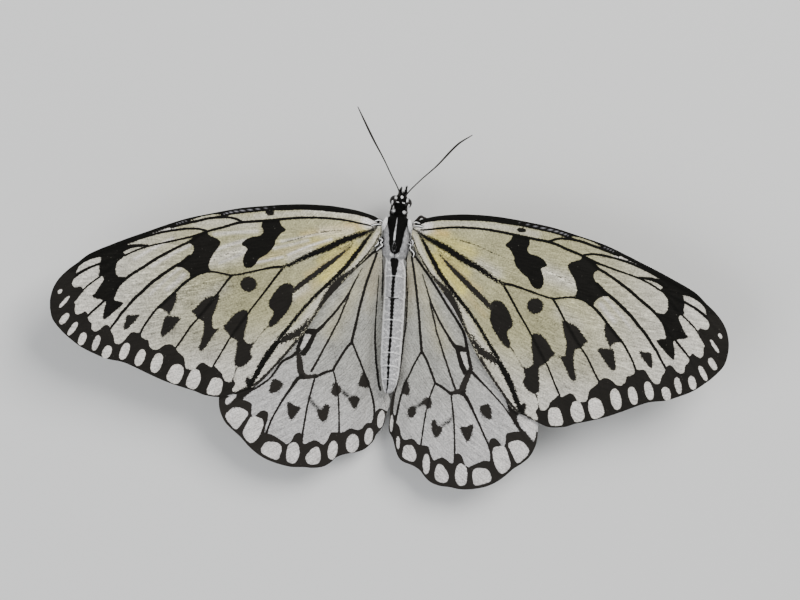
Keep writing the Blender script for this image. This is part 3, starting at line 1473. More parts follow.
HIND_STROKES = (
    Stroke(((3.4, -2.9), (3.7, -4), (4.3, -6.3), (4.8, -8.5), (5.3, -11), (5.9, -14), (6.4, -17),
            (6.9, -19.8), (7.1, -21)), (0.36, 0.42, 0.42, 0.5)),
    Stroke(((7.1, -21), (8, -22.3), (9, -24.2), (10, -26.3), (10.3, -27)), (0.5, 0.4, 0.44)),
    Stroke(((10.3, -27), (9.9, -28.2), (9.5, -30), (9.1, -32.5), (8.9, -35), (8.8, -37), (8.7, -39.5),
            (8.6, -43.5)), (0.3, 0.3, 0.3, 0.4)),
    Stroke(((10.3, -27), (11.5, -27.5), (12.7, -28.2), (13.6, -28.8)), (0.45, 0.5)),
    Stroke(((13.6, -28.8), (13.9, -30.3), (14.3, -32.3), (14.8, -35), (15.1, -37.5), (15.4, -40),
            (15.5, -41.5), (15.5, -46.5)), (0.34, 0.32, 0.4)),
    Stroke(((3.4, -2.2), (4.6, -3.4), (5.8, -4.8), (7, -6.2), (9, -8.8), (11, -11.5), (13, -14),
            (14.6, -16.2), (15.1, -17.2), (15.5, -18.5), (15.9, -20), (16.5, -22), (17, -23.6)),
           (0.42, 0.42, 0.42, 0.5, 0.6)),
    Stroke(((5.8, -6), (7, -9), (7.8, -11), (9, -13.2), (10, -14.9), (11.5, -17), (13, -19), (13.8, -19.8),
            (14.3, -21), (15.1, -23), (15.9, -24.3)), (0.18, 0.3, 0.36, 0.42, 0.7, 0.9)),
    Stroke(((13.4, -19.5), (14.5, -19.75), (15.9, -20.1)), (0.6, 1, 0.5)),
    Stroke(((7.8, -11.4), (8.3, -13), (9, -15), (9.7, -17.2), (10.5, -19), (11.3, -21), (12.2, -23),
            (13, -24.9), (14.3, -27.7)), (0.3, 0.32, 0.34, 0.4), 0.3, 0, 0.1),
    Stroke(((5.6, -2.6), (9, -5.1), (16, -12.6), (23, -21.9), (28.2, -30.2), (29.8, -34)), (0.3, 0.3), 0.3),
)
RIGHT_HIND_STROKES = (
    Stroke(((13.4, -28.7), (14.4, -28.35), (15.7, -28)), (0.5, 0.8, 1.15), 0.75, 0.15),
    Stroke(((15.6, -28.2), (15.9, -26.6), (16.4, -25), (16.9, -23.6)), (1.2, 1.05, 1, 0.7), 0.75, 0.15),
    Stroke(((15.9, -28.3), (17.3, -30.2), (18.5, -32.2), (20, -34.8), (21, -36.6), (21.8, -38),
            (22.4, -39.6), (22.6, -41), (23.4, -45)), (0.7, 0.4, 0.34, 0.34, 0.4)),
    Stroke(((16.7, -23.7), (17.6, -24.5), (20, -26.5), (22, -28.3), (24, -30.2), (26, -32.5), (27.5, -34.2),
            (29.5, -36.2)), (0.6, 0.34, 0.3, 0.34, 0.5)),
    Stroke(((7.1, -21), (6, -23.5), (5.2, -25.8), (4.6, -27.5), (4.1, -29.5), (3.8, -31.5), (3.5, -34.5),
            (3.35, -36), (3.5, -38.5)), (0.36, 0.32, 0.36, 0.36)),
    Stroke(((2.35, -4), (2.6, -6), (2.75, -8), (2.9, -11), (3.2, -15.4)), (0.36, 0.3, 0.2), 0.4, 0, 0),
    Stroke(((3.3, -9), (3.6, -14), (3.65, -17), (3.5, -19), (3.4, -23), (3.2, -26), (3, -28), (2.75, -30),
            (2.65, -31.5), (2.7, -33.5), (3.1, -34.6)), (0.22, 0.26, 0.26, 0.32), 0.2),
)
LEFT_HIND_STROKES = (
    Stroke(((12.9, -27.6), (14.2, -28.1), (15.4, -28.1)), (0.45, 0.7, 1.1), 0.75, 0.15),
    Stroke(((15.3, -28.2), (16, -27.2), (16.4, -25.3), (16.9, -23.4)), (1, 1.1, 0.95, 0.6), 0.75, 0.15),
    Stroke(((15.7, -28.1), (16.4, -28.6), (17.6, -30.6), (18.9, -32.9), (20, -35.2), (20.8, -37.1),
            (21.4, -39.2), (21.6, -40.4), (22.4, -44)), (0.7, 0.4, 0.34, 0.34, 0.4)),
    Stroke(((16.7, -23), (17.8, -24.3), (19.7, -25.6), (20.9, -27.6), (21.8, -29), (24, -31), (26.2, -32.5),
            (28.6, -34.2)), (0.6, 0.4, 0.34, 0.34, 0.5)),
    Stroke(((6.55, -20.7), (5.6, -22.6), (4.6, -24.6), (3.9, -26.1), (3.1, -27.6), (2.35, -29.1),
            (1.65, -31), (1.12, -33), (0.95, -35), (1.2, -36.4)), (0.36, 0.32, 0.36, 0.4)),
    Stroke(((2.1, -4), (1.95, -6), (1.8, -8), (1.7, -10), (1.58, -12), (1.45, -14), (1.3, -16.5)),
           (0.36, 0.32, 0.26, 0.14, 0.02), 0.4, 0, 0),
    Stroke(((2.75, -7), (2.7, -10), (2.6, -13), (2.45, -17), (2.1, -20.5), (1.6, -24), (1.1, -26.2),
            (0.75, -28), (0.25, -29.4)), (0.2, 0.28, 0.34, 0.38, 0.38), 0.2),
    Stroke(((-0.4, -30.4), (-0.8, -31.6), (-1.15, -32.8)), (0.1, 0.12), 0.5, 0, 0),
)

HIND_BLOTS = (
    Blot(((15.95, -35.1), (17, -34.8), (18.3, -34.3), (18.5, -35.5), (18.2, -37), (17.6, -37.9),
          (16.9, -37)), 0.6),
    Blot(((19.3, -30.9), (20.1, -30.2), (21.2, -30.1), (21.75, -31.4), (21.8, -33), (21.2, -33),
          (19.9, -32.1)), 0.6),
)
RIGHT_HIND_BLOTS = (
    Blot(oval((6.3, -33.05), (0.8, 1.25), -6), 0.6),
    Blot(((10.35, -34.3), (11, -34.1), (11.6, -35.1), (12.6, -35.4), (12.3, -36.8), (11.5, -37.6),
          (10.8, -36.9), (10.4, -35.6)), 0.6),
    Blot(((8, -31), (8.5, -30.2), (9.3, -29.8), (9.9, -30.3), (10.1, -31.5), (9.6, -32.2), (8.8, -31.6)),
         0.8),
    Blot(((4.75, -26.5), (5.3, -27.8), (5.6, -29), (5.4, -29.9), (4.1, -29.6), (4.1, -28)), 0.8),
    Blot(((24.4, -28.6), (27.6, -29.6), (29.8, -31.9), (27.1, -31.3), (27, -32.8), (28.2, -34.4),
          (29.5, -35.9), (30.6, -36.8), (29.4, -36.6), (27.8, -35), (26.2, -33.2), (25.2, -31.4)), 0.4),
)
LEFT_HIND_BLOTS = (
    Blot(((4.3, -31.2), (5, -30.9), (5.8, -31.25), (6.4, -31.6), (5.8, -32.6), (5.1, -33.5), (4.5, -33.3),
          (4.2, -32.3)), 0.6),
    Blot(((9.8, -33.3), (10.8, -33.2), (11.2, -34.1), (12.1, -34.3), (11.9, -35.5), (11.3, -36.4),
          (10.5, -36.6), (9.95, -35.5)), 0.6),
    Blot(((7.7, -30.3), (8.3, -29.1), (9, -28.4), (9.6, -29.2), (9.7, -30.9), (9, -31.4), (8.3, -31.1)),
         0.8),
    Blot(((4, -26.1), (4.5, -27.4), (4.7, -28.7), (4, -29.2), (2.5, -29.1), (2.4, -28.1), (3.2, -27.2)),
         0.8),
    Blot(((24.5, -30.6), (27, -30.6), (30.6, -33), (28, -32.9), (28.9, -34.4), (29.9, -35.2), (28.4, -35.2),
          (26.4, -33.4)), 0.4),
)

HIND_FIELD = (
    (0, 2), (12, 2), (24, -14), (33, -30), (33, -34.2), (29.5, -34.4), (28, -34.6), (27, -34.8), (26, -35),
    (25, -35.5), (25, -36.8), (24.8, -38), (24.2, -37.7), (23.6, -37), (22.8, -36.5), (22, -36.8),
    (21.9, -37.8), (22.4, -41), (21.3, -41.1), (20, -41.7), (19, -42.3), (18.3, -42.7), (17.5, -42),
    (16.9, -40.7), (16.2, -40.2), (15.6, -40.4), (15.3, -42.2), (14.8, -42.2), (14, -41.7), (13, -41.3),
    (12.3, -41.6), (11.5, -42), (10.8, -41), (10.2, -39.5), (9.3, -39.3), (8.6, -39.3),
)
RIGHT_HIND_FIELD = (
    (7.9, -39), (7.3, -38.4), (6.5, -38.3), (5.5, -38.6), (4.8, -38), (4.2, -36.2), (3.6, -35.5), (3.3, -34),
    (2.95, -34), (2.8, -33), (2.55, -30.5), (2.5, -29), (1, -26), (0, -20), (-2, -4),
)
LEFT_HIND_FIELD = (
    (6.4, -38.1), (6, -37.8), (5.2, -37.4), (4, -37.6), (3.2, -37.3), (2.7, -36.6), (2.2, -36.1),
    (1.3, -35.9), (0.95, -34.8), (0.7, -33.7), (-0.2, -33), (-1.3, -33.4), (-4, -33.6), (-4, -20), (-3, -4),
)

HIND_TINTS = (
    Tint("tan", ((3.2, -4), (4, -10)), 1.6, 0.35),
    Tint("warm", ((4.5, -5), (8, -13), (11, -19)), 2.2, 0.42),
    Tint("silk", ((8, -10), (12, -16)), 2, 0.35),
    Tint("smudge", ((8.5, -19), (10, -24), (10.5, -28)), 2.4, 0.10),
    Tint("warm", ((3.4, -6), (4.4, -14)), 1.2, 0.25),
    Tint("bright", ((8.5, -7.9), (10, -9.3), (11, -10.6), (13, -13), (14.5, -15.2), (15.9, -17.6)), 0.34,
         1),
    Tint("bright", ((15.2, -21), (15.8, -23)), 0.7, 0.6),
    Tint("smudge", ((6.9, -32.1), (8.2, -31.2)), 0.46, 0.85),
    Tint("smudge", ((12.5, -35), (13.6, -34.2), (14.2, -33.3)), 0.42, 0.8),
    Tint("smudge", ((6, -26), (9, -31)), 2.5, 0.08),
    Tint("silk", ((8, -30), (18, -36)), 6, 0.35),
)

HIND_SPOTS = (
    ((12.4, -42.7), (13.3, -42.9), (14.4, -44.3), (14.7, -45.2), (14.1, -46.2), (12.4, -45.9),
     (11.9, -44.7)),
    ((16.6, -42.2), (17.7, -42.6), (18.2, -44), (18.1, -46.1), (16.8, -46.4), (16, -45), (16, -43.2)),
    ((20, -42.7), (22, -42.8), (22.9, -44), (22.9, -44.9), (22, -45.5), (20, -46.1), (19.4, -45),
     (19.3, -43.3)),
    ((22.8, -38.5), (24, -38), (25, -38.1), (25.8, -39.7), (26.4, -41.7), (25, -43.3), (23.8, -42.4),
     (23, -40.5)),
    ((25.6, -37.4), (26.8, -36.6), (28, -36.6), (29.4, -37.7), (29.7, -38.7), (28.5, -40.4), (27.7, -40.9),
     (26.6, -39.4)),
)
RIGHT_HIND_SPOTS = (
    oval((2.65, -35.7), (0.36, 1.75), 2),
    oval((4.25, -39.3), (0.34, 1.3), 6),
    ((5.6, -39.8), (6.9, -39.6), (7.7, -40.6), (8, -41.8), (7.5, -42.7), (5.5, -42.1), (5.3, -41)),
    oval((10.1, -42.9), (0.68, 2.05), 5),
    ((27.1, -31.5), (28.3, -31.9), (30, -32.6), (30.6, -33.5), (30.7, -35.2), (30.4, -36.3), (29.4, -35.4),
     (28.2, -33.9), (27.2, -32.5)),
)
LEFT_HIND_SPOTS = (
    oval((-0.4, -35.1), (0.66, 1.75), 4),
    oval((1.65, -38.7), (0.80, 1.65), 4),
    oval((4.7, -40.3), (1.22, 1.85), 3),
    oval((8.4, -42), (0.92, 1.9), 4),
    ((28.1, -33.1), (29.7, -33.7), (30, -34.6), (29.6, -35), (28.8, -34.2)),
)
# What only one forewing has, as it lies
LEFT_FORE_BLOTS = (
    Blot(((23.9, 2.8), (24.3, 2.4), (25.2, 2.35), (25.7, 2.8), (25.8, 3.4), (26.3, 3.9), (25, 4),
          (24.9, 3.5), (24.2, 3.3)), 0.3),
)
RIGHT_FORE_BLOTS = (
    Blot(oval((24.1, 4.22), (0.95, 0.46)), 0.2),
)
LEFT_FORE_TINTS = (
    Tint("bright", ((28, 0.5), (33, 0.2), (38, -0.2)), 1.6, 0.35),
    Tint("bright", ((9, 0.8), (14, 0.1)), 1.3, 0.4),
    Tint("bright", ((8, 4.2), (12, 4.3), (18, 4.2)), 0.8, 0.55),
    Tint("bright", ((16.5, -11), (19, -13)), 1, 0.35),
    Tint("smudge", ((48, -12), (51.5, -12.5)), 1.5, 0.16),
    Tint("smudge", ((28, -11), (36, -12.5), (40, -14)), 3.5, 0.26),
    Tint("smudge", ((32, -24.5), (40, -22), (48, -19.5)), 3, 0.24),
    Tint("silk", ((6, 3.8), (14, 3.4), (26, 3.2)), 2.2, 0.8),
    Tint("silk", ((8, 1), (16, -0.5), (22, -2.5)), 2, 0.8),
    Tint("tan", ((7.5, 1.6), (12, 1), (18, -0.8)), 0.8, 0.4),
    Tint("tan", ((14, -1.6), (20, -4), (26, -6)), 1, 0.22),
    Tint("bright", ((12.5, -1), (17, -3), (20.5, -4.9)), 0.26, 0.9),
    Tint("bright", ((14, 0.1), (18, -1.2), (22, -2.4)), 0.28, 0.5),
    Tint("bright", ((17, -1.7), (20, -2.8), (23.5, -3.9)), 0.3, 0.5),
    Tint("bright", ((21.5, -5.4), (25, -6.5), (27, -7.1)), 0.24, 0.8),
    Tint("bright", ((27, -0.9), (31, -1.5), (35, -2.3)), 0.42, 0.6),
    Tint("bright", ((28.8, -2.9), (31.5, -3.9), (34.5, -5.3)), 0.42, 0.7),
    Tint("bright", ((28.2, -4.6), (30.5, -6.1), (33.5, -7.7)), 0.42, 0.7),
    Tint("bright", ((39.5, -4.8), (43, -7), (46.5, -9.6)), 0.3, 0.7),
    Tint("bright", ((43, -3.8), (47, -6.4), (50, -8.6)), 0.3, 0.7),
    Tint("bright", ((47, -2.9), (50, -4.4), (53, -6)), 0.3, 0.6),
)


class WingSet:
    """The four wings, the left ones swept a little otherwise than the right ones."""

    fore_finish = WingFinish("forewing_scales", (0.400, 0.375, 0.215), (0.60, 0.57, 0.50))
    hind_finish = WingFinish("hindwing_scales", (0.375, 0.370, 0.335), (0.50, 0.485, 0.475),
                             (0.42, 0.375, 0.20), (0.40, 0.33, 0.20), dark=(0.0135, 0.0120, 0.0105),
                             brown=(0.026, 0.023, 0.020))

    def build(self) -> list[bpy.types.Object]:
        """Makes the four wings.

        Returns:
            The finished wings.
        """
        fore = Pattern(FORE_OUTLINE, FORE_STROKES, FORE_BLOTS, FORE_FIELD, FORE_WINDOWS,
                       FORE_MARGIN, FORE_SILVERS, FORE_TINTS)
        right_fore = Lay((4.0, 2.0))
        left_fore = Lay((4.0, 2.0), math.radians(-4.1), 1.007, 0.951, -0.0015, (0.215, 0.02))
        right_hind = Lay((3.0, -2.0))
        left_hind = Lay((3.0, -2.0), math.radians(-0.9), 1.056, 0.978, 0.0368, (0.39, -0.1))
        wings = []
        for side, lay, blots, tints in ((Side.RIGHT, right_fore, RIGHT_FORE_BLOTS, ()),
                                        (Side.LEFT, left_fore, LEFT_FORE_BLOTS, LEFT_FORE_TINTS)):
            own_tints = [replace(tint, line=lay.own(tint.line)) for tint in tints]
            pattern = replace(fore, blots=[*FORE_BLOTS, *self.own_blots(lay, blots)],
                              tints=[*FORE_TINTS, *own_tints])
            wings.append(Wing("forewing", side, pattern, lay, self.fore_finish, outer_from=28.0))
        for side, lay, inner, strokes, blots, rim, spots in (
                (Side.RIGHT, right_hind, RIGHT_HIND_INNER, RIGHT_HIND_STROKES, RIGHT_HIND_BLOTS,
                 RIGHT_HIND_FIELD, RIGHT_HIND_SPOTS),
                (Side.LEFT, left_hind, LEFT_HIND_INNER, LEFT_HIND_STROKES, LEFT_HIND_BLOTS,
                 LEFT_HIND_FIELD, LEFT_HIND_SPOTS)):
            own_strokes = [replace(stroke, line=lay.own(stroke.line)) for stroke in strokes]
            hind = Pattern([*HIND_OUTLINE, *lay.own(inner)], [*HIND_STROKES, *own_strokes],
                           [*HIND_BLOTS, *self.own_blots(lay, blots)], [*HIND_FIELD, *lay.own(rim)], (),
                           [*HIND_SPOTS, *(lay.own(spot) for spot in spots)], (), HIND_TINTS)
            wings.append(Wing("hindwing", side, hind, lay, self.hind_finish, FRAME.hind_drop,
                              outer_from=18.0, outer_over=24.0, rear_from=60.0))
        return [wing.build() for wing in wings]

    def own_blots(self, lay: Lay, blots: Sequence[Blot]) -> list[Blot]:
        """Brings blots that are given as they lie on to the wing's own plan."""
        return [replace(blot, loop=lay.own(blot.loop)) for blot in blots]


# Body

# Each row: the place along the body, the centre's s and z, half the width and half the height
BODY_STATIONS = np.array((
    (9.3, 0, 8.7, 0.02, 0.02), (9.22, 0, 8.72, 0.3, 0.36), (8.95, 0, 8.78, 0.72, 0.86),
    (8.4, 0, 8.88, 1.06, 1.28), (7.5, 0, 8.95, 1.22, 1.5), (6.85, 0, 9, 1.18, 1.42),
    (6.4, 0.03, 9, 1.12, 1.18), (6.15, 0.05, 9, 1.1, 1.1), (5.9, 0.05, 9, 1.2, 1.26),
    (5.5, 0.04, 8.98, 1.5, 1.64), (5.1, 0.01, 8.92, 1.52, 1.7), (4.8, 0, 8.85, 1.46, 1.72),
    (4.4, 0, 8.82, 1.86, 2.1), (3.6, 0, 8.78, 2.34, 2.76), (2.6, 0, 8.74, 2.62, 3.08),
    (1.5, 0, 8.7, 2.74, 3.22), (-0.5, 0, 8.7, 2.8, 3.18), (-2.2, 0, 8.65, 2.64, 2.84),
    (-3.1, 0, 8.6, 2.3, 2.42), (-3.7, 0.08, 8.52, 1.8, 2.02), (-4.2, 0.18, 8.48, 1.76, 1.96),
    (-5.2, 0.33, 8.45, 1.94, 2.17), (-9, 0.68, 8.35, 2.04, 2.36), (-14, 0.9, 8.2, 2.07, 2.36),
    (-19, 1.06, 8, 2.03, 2.16), (-23.5, 1.2, 7.8, 1.92, 1.92), (-26.8, 1.38, 7.6, 1.62, 1.57),
    (-28.8, 1.4, 7.45, 1.14, 1.08), (-29.6, 1.33, 7.4, 0.66, 0.62), (-29.9, 1.3, 7.38, 0.22, 0.2),
    (-29.95, 1.29, 7.38, 0.02, 0.02),
))


# Markings of the body, as knots of a place along it and a value there: half the width of the thorax's
# black back, middle and half width of its white stripe, and half width and middle of the abdomen's dashes
BACK_EDGE = ((-2.8, 0), (-2.55, 0.5), (-2.2, 0.8), (-1, 1.12), (2, 1.5), (3.5, 2), (4.4, 2.3))
STRIPE_MIDDLE = ((0, -0.36), (4.1, -0.16))
STRIPE_HALF = ((-0.35, 0), (0.1, 0.2), (1.2, 0.19), (2.6, 0.13), (4, 0.07), (4.35, 0))
DASH_HALF = (
    (-29.4, 0.08), (-27, 0.2), (-20, 0.23), (-15.6, 0.24), (-15.3, 0.3), (-11.5, 0.36), (-11.1, 0.26),
    (-8, 0.3), (-7.2, 0.26), (-6.8, 0.4), (-6, 0.5), (-5.2, 0.62), (-4.2, 0.84), (-3.8, 0.74), (-3.5, 0.55),
)
DASH_MIDDLE = ((-28.4, -0.34), (-24, -0.37), (-17.4, -0.28), (-13.6, -0.35), (-9.4, -0.43), (-6.5, -0.22),
               (-3.5, 0))


# Hair of head, neck, thorax and abdomen: from where to where, how many, mean length and lift
BODY_HAIR = ((6.35, 9.15, 1500, 0.34, 0.35), (4.75, 6.2, 800, 0.42, 0.6), (-3.7, 4.6, 5200, 0.48, 0.22),
             (-29.6, -3.8, 4200, 0.26, 0.1))
# White spots of head and neck: middle s and t, half sizes and the number of scales
SCALE_SPOTS = (
    (0.05, 8.52, 0.25, 0.25, 90), (-1.1, 8.2, 0.27, 0.24, 80), (1.2, 8.2, 0.19, 0.46, 110),
    (-0.6, 7.4, 0.26, 0.05, 24), (0.58, 7.47, 0.26, 0.05, 24), (-1.63, 7.1, 0.18, 0.4, 80),
    (1.68, 7.05, 0.2, 0.4, 80), (-1, 5.78, 0.32, 0.26, 90), (1.1, 5.68, 0.32, 0.32, 96),
)


@dataclass
class BodySkin:
    """Head, neck, thorax and abdomen in one skin, with its hair."""

    sides: int = 112
    rings: int = 340
    head_rear: float = 6.35
    neck_front: float = 5.75
    thorax_power: float = 2.3
    ring_places: tuple = (-7.0, -11.2, -15.5, -19.0, -21.9, -24.5, -27.1)
    bunching: float = 0.28
    thorax_front: float = 4.9
    thorax_rear: float = -3.45
    head_edge: float = 6.2
    tuft_hairs: int = 230
    seed: int = 7

    def section(self, t: np.ndarray) -> np.ndarray:
        """Reads centre and half sizes at places along the body from a smooth curve.

        Args:
            t: Places along the body.

        Returns:
            A row of centre s, centre z, half width and half height at each.
        """
        stations = BODY_STATIONS[::-1]
        knots, values = stations[:, 0], stations[:, 1:]
        slopes = np.gradient(values, knots, axis=0)
        slopes[0] = slopes[-1] = 0.0
        i = np.clip(np.searchsorted(knots, t) - 1, 0, len(knots) - 2)
        width = (knots[i + 1] - knots[i])[:, None]
        u = (t - knots[i])[:, None] / width
        return ((2 * u**3 - 3 * u**2 + 1) * values[i] + (u**3 - 2 * u**2 + u) * width * slopes[i]
                + (3 * u**2 - 2 * u**3) * values[i + 1] + (u**3 - u**2) * width * slopes[i + 1])

    def surface(self, t: np.ndarray, turn: np.ndarray) -> np.ndarray:
        """Finds points of the skin.

        Args:
            t: Places along the body.
            turn: Angles round it, 0 at the animal's right and a quarter turn at the top.

        Returns:
            Points (s, t, z) in millimetres.
        """
        centre_s, centre_z, half_s, half_z = self.section(t).T
        blocky = ramp((self.thorax_front - t) / 0.5) * ramp((t + 3.9) / 0.5)
        power = 2.0 / (2.0 + (self.thorax_power - 2.0) * blocky)
        cosine, sine = np.cos(turn), np.sin(turn)
        swell = self.swell(t)
        s = centre_s + half_s * swell * np.sign(cosine) * np.abs(cosine) ** power
        z = centre_z + half_z * swell * np.sign(sine) * np.abs(sine) ** power
        z += self.relief(s, t, sine)
        points = np.stack((s, t, z), axis=-1)
        turned = FRAME.swing(points)
        share = self.head_share(t)[:, None]
        return points * (1 - share) + turned * share

    def head_share(self, t: np.ndarray) -> np.ndarray:
        """How far places turn with the head, from 0 behind the neck to 1 on the head."""
        return ramp((t - self.neck_front) / (self.head_rear - self.neck_front))

    def swell(self, t: np.ndarray) -> np.ndarray:
        """Swells each ring of the abdomen towards its rear edge, with a fold behind it.

        Args:
            t: Places along the body.

        Returns:
            The factor on the half sizes.
        """
        scale = np.ones_like(t)
        for place in self.ring_places:
            scale += 0.035 * np.exp(-np.clip(t - place, 0, None) / 1.1) * (t >= place)
            scale -= 0.030 * bell((t - place + 0.10) / 0.10)
        return scale

    def relief(self, s: np.ndarray, t: np.ndarray, sine: np.ndarray) -> np.ndarray:
        """Grooves and plates on the back of the thorax.

        Args:
            s: Sideways places.
            t: Places along the body.
            sine: 1 at the top of the skin and -1 below.

        Returns:
            The change of height in millimetres.
        """
        top = ramp(sine) ** 2
        on_thorax = ramp((4.4 - t) / 0.8) * ramp((t + 3.2) / 0.8)
        width = between(t, ((-2.6, 0.55), (-1.0, 1.15), (1.0, 1.55), (3.5, 2.0)))
        beside = np.abs(s) - width
        groove = -0.14 * bell(beside / 0.16)
        scutellum = 0.12 * np.exp(-((t + 1.9) / 0.55) ** 2 - (s / 0.8) ** 2)
        return (groove + scutellum) * top * on_thorax

    def build(self) -> list[bpy.types.Object]:
        """Makes the skin and its coat.

        Returns:
            The skin and the pieces of its coat.
        """
        obj, ball = unit_ball("body_skin", self.sides, self.rings)
        share = np.arccos(np.clip(ball[:, 2], -1.0, 1.0)) / math.pi
        front, rear = BODY_STATIONS[0, 0], BODY_STATIONS[-1, 0]
        t = front + (rear - front) * (share - self.bunching * np.sin(2 * math.pi * share) / (2 * math.pi))
        turn = np.arctan2(ball[:, 1], ball[:, 0])
        points = self.surface(t, turn)
        shape_ball(obj, points)
        store(obj.data, "tone", self.tone(points[:, 0], t, turn))
        skin = settle(obj, PileFinish("body_pile").build(),
                      ("head", "neck", "thorax", "abdomen"), 60.0)
        return [skin, *self.coats()]

    def tone(self, s: np.ndarray, t: np.ndarray, turn: np.ndarray) -> np.ndarray:
        """Draws the body's markings: 0 is black, 0.5 grey and 1 white.

        Args:
            s: Sideways places of the skin as it lies.
            t: Places along the body.
            turn: Angles round the skin.

        Returns:
            The tone at each place.
        """
        top = np.sin(turn)
        across = s - self.section(t)[:, 0]
        thorax = (t < self.thorax_front) & (t >= self.thorax_rear)
        on_back = thorax & (top > 0)
        # Grey panels at both sides of the black back
        beside = np.abs(s) - between(t, BACK_EDGE)
        panel = 0.56 + 0.10 * bell((beside - 0.62) / 0.22) - 0.16 * bell(beside / 0.22)
        panel = panel - 0.10 * bell((beside - 1.05 - 0.12 * np.sin(t * 1.3)) / 0.12)
        panel = panel + 0.16 * bell((t + 2.9) / 0.35) + 0.05 * np.sin(t * 5.0 + s * 4.0)
        side_tone = np.where(top > -0.1, panel, 0.0)
        tone = np.where(thorax, side_tone * ramp(0.5 + beside / 0.22), 0.0)
        # White middle stripe
        half = between(t, STRIPE_HALF)
        stripe = ramp(0.5 - (np.abs(s - between(t, STRIPE_MIDDLE)) - half) / 0.10) * (half > 0.0)
        tone = np.where(on_back, np.maximum(tone, (0.78 + 0.1 * np.sin(t * 6.0)) * stripe), tone)
        # Grey ring with a dot before the waist
        ring = np.hypot((s + 0.22) / 0.40, (t + 1.35) / 0.85)
        mark = 0.42 * bell((ring - 1.0) / 0.22) + 0.32 * bell(ring / 0.35)
        tone = np.where(on_back, np.maximum(tone, mark), tone)
        # White spots on the flanks and below
        flank = bell((top + 0.35) / 0.10) + bell((top + 0.75) / 0.10)
        spots = ramp(np.sin(t * 1.7 + 0.6) * 1.5)
        tone = np.where(thorax & (top < 0), np.maximum(tone, 0.95 * ramp(flank * spots)), tone)
        # Neck with two white dots and a pale underside, and the head's white throat
        neck = (t >= self.thorax_front) & (t < self.head_edge)
        for dot_s, dot_t in ((-0.98, 5.7), (1.08, 5.62)):
            dot = np.exp(-(((s - dot_s) / 0.34) ** 2 + ((t - dot_t) / 0.36) ** 2) ** 1.5)
            tone = np.where(neck & (top > 0), np.maximum(tone, dot), tone)
        tone = np.where(neck & (top < -0.3), 0.75, tone)
        below = (t >= self.head_edge) & (top < -0.2)
        tone = np.where(below, 0.7 * ramp(np.abs(across) * 1.5 - 0.2), tone)
        return np.where(t < self.thorax_rear, self.abdomen_tone(across, t, top), tone)

    def abdomen_tone(self, across: np.ndarray, t: np.ndarray, top: np.ndarray) -> np.ndarray:
        """Draws the abdomen: silver back with black dashes, white rims and a pale underside.

        Args:
            across: Sideways places from the abdomen's middle.
            t: Places along the body.
            top: 1 at the top of the skin and -1 below.

        Returns:
            The tone at each place.
        """
        side = np.abs(across) / np.maximum(self.section(t)[:, 2], 0.05)
        cloud = np.sin(5.3 * t + 2.4 * across) * np.sin(3.7 * across + 0.8 * t)
        tone = 0.625 + 0.05 * (t < -12.0) + 0.06 * cloud
        tone = tone + 0.28 * bell((side - 0.92) / 0.09) + 0.10 * bell((t + 4.6) / 0.9)
        half = between(t, DASH_HALF)
        half = half + np.where((t < -8.0) & (t > -18.0), 0.07 * np.sin(t * 9.0), 0.05 * np.sin(t * 6.0))
        drift = between(t, DASH_MIDDLE)
        dash = ramp(0.5 - (np.abs(across - drift) - half) / 0.22)
        comb = bell((across - drift - 0.75) / 0.35) * (np.sin(t * 14.0) > 0.2)
        tone = tone - 0.07 * comb * (t < -11.4) * (t > -15.4)
        bend = t + 0.09 * across**2
        for place in self.ring_places:
            dash *= 1.0 - 0.8 * bell((t - place) / 0.14)
            glint = 0.34 + 0.14 * np.sin(across * 3.1 + place)
            tone += glint * bell((bend - place - 0.10) / 0.13)
            tone -= 0.16 * bell((bend - place + 0.16) / 0.13)
            slant = (t - place - 0.7 - 0.55 * np.abs(across)) / 0.12
            tone += 0.14 * bell(slant) * (side > 0.4)
        tone = np.where(top > 0, tone * (1 - dash * between(t, ((-6.4, 1.0), (-5.0, 0.86)))), tone)
        arc = bell((t + 11.3 - 0.10 * (across + 0.2) ** 2) / 0.10) * (np.abs(across + 0.2) < 1.0)
        tone = tone * (1 - 0.95 * arc * (top > 0))
        lower = bell((top + 0.30) / 0.10)
        return ramp(tone - 0.5 * lower)

    def coats(self) -> list[bpy.types.Object]:
        """Makes the hair of head, thorax and abdomen.

        Returns:
            The coat, the tufts at the wing roots and the white spots.
        """
        rng = random.Random(self.seed)
        pile = Coat()
        for low, high, count, length, lift in BODY_HAIR:
            self.grow(pile, rng, np.array([rng.uniform(low, high) for _ in range(count)]), length, lift)
        coat = pile.dress("body_coat", hair_finish("body_hair"))
        return [coat, self.wing_base_tufts(rng), self.scale_spots(rng)]

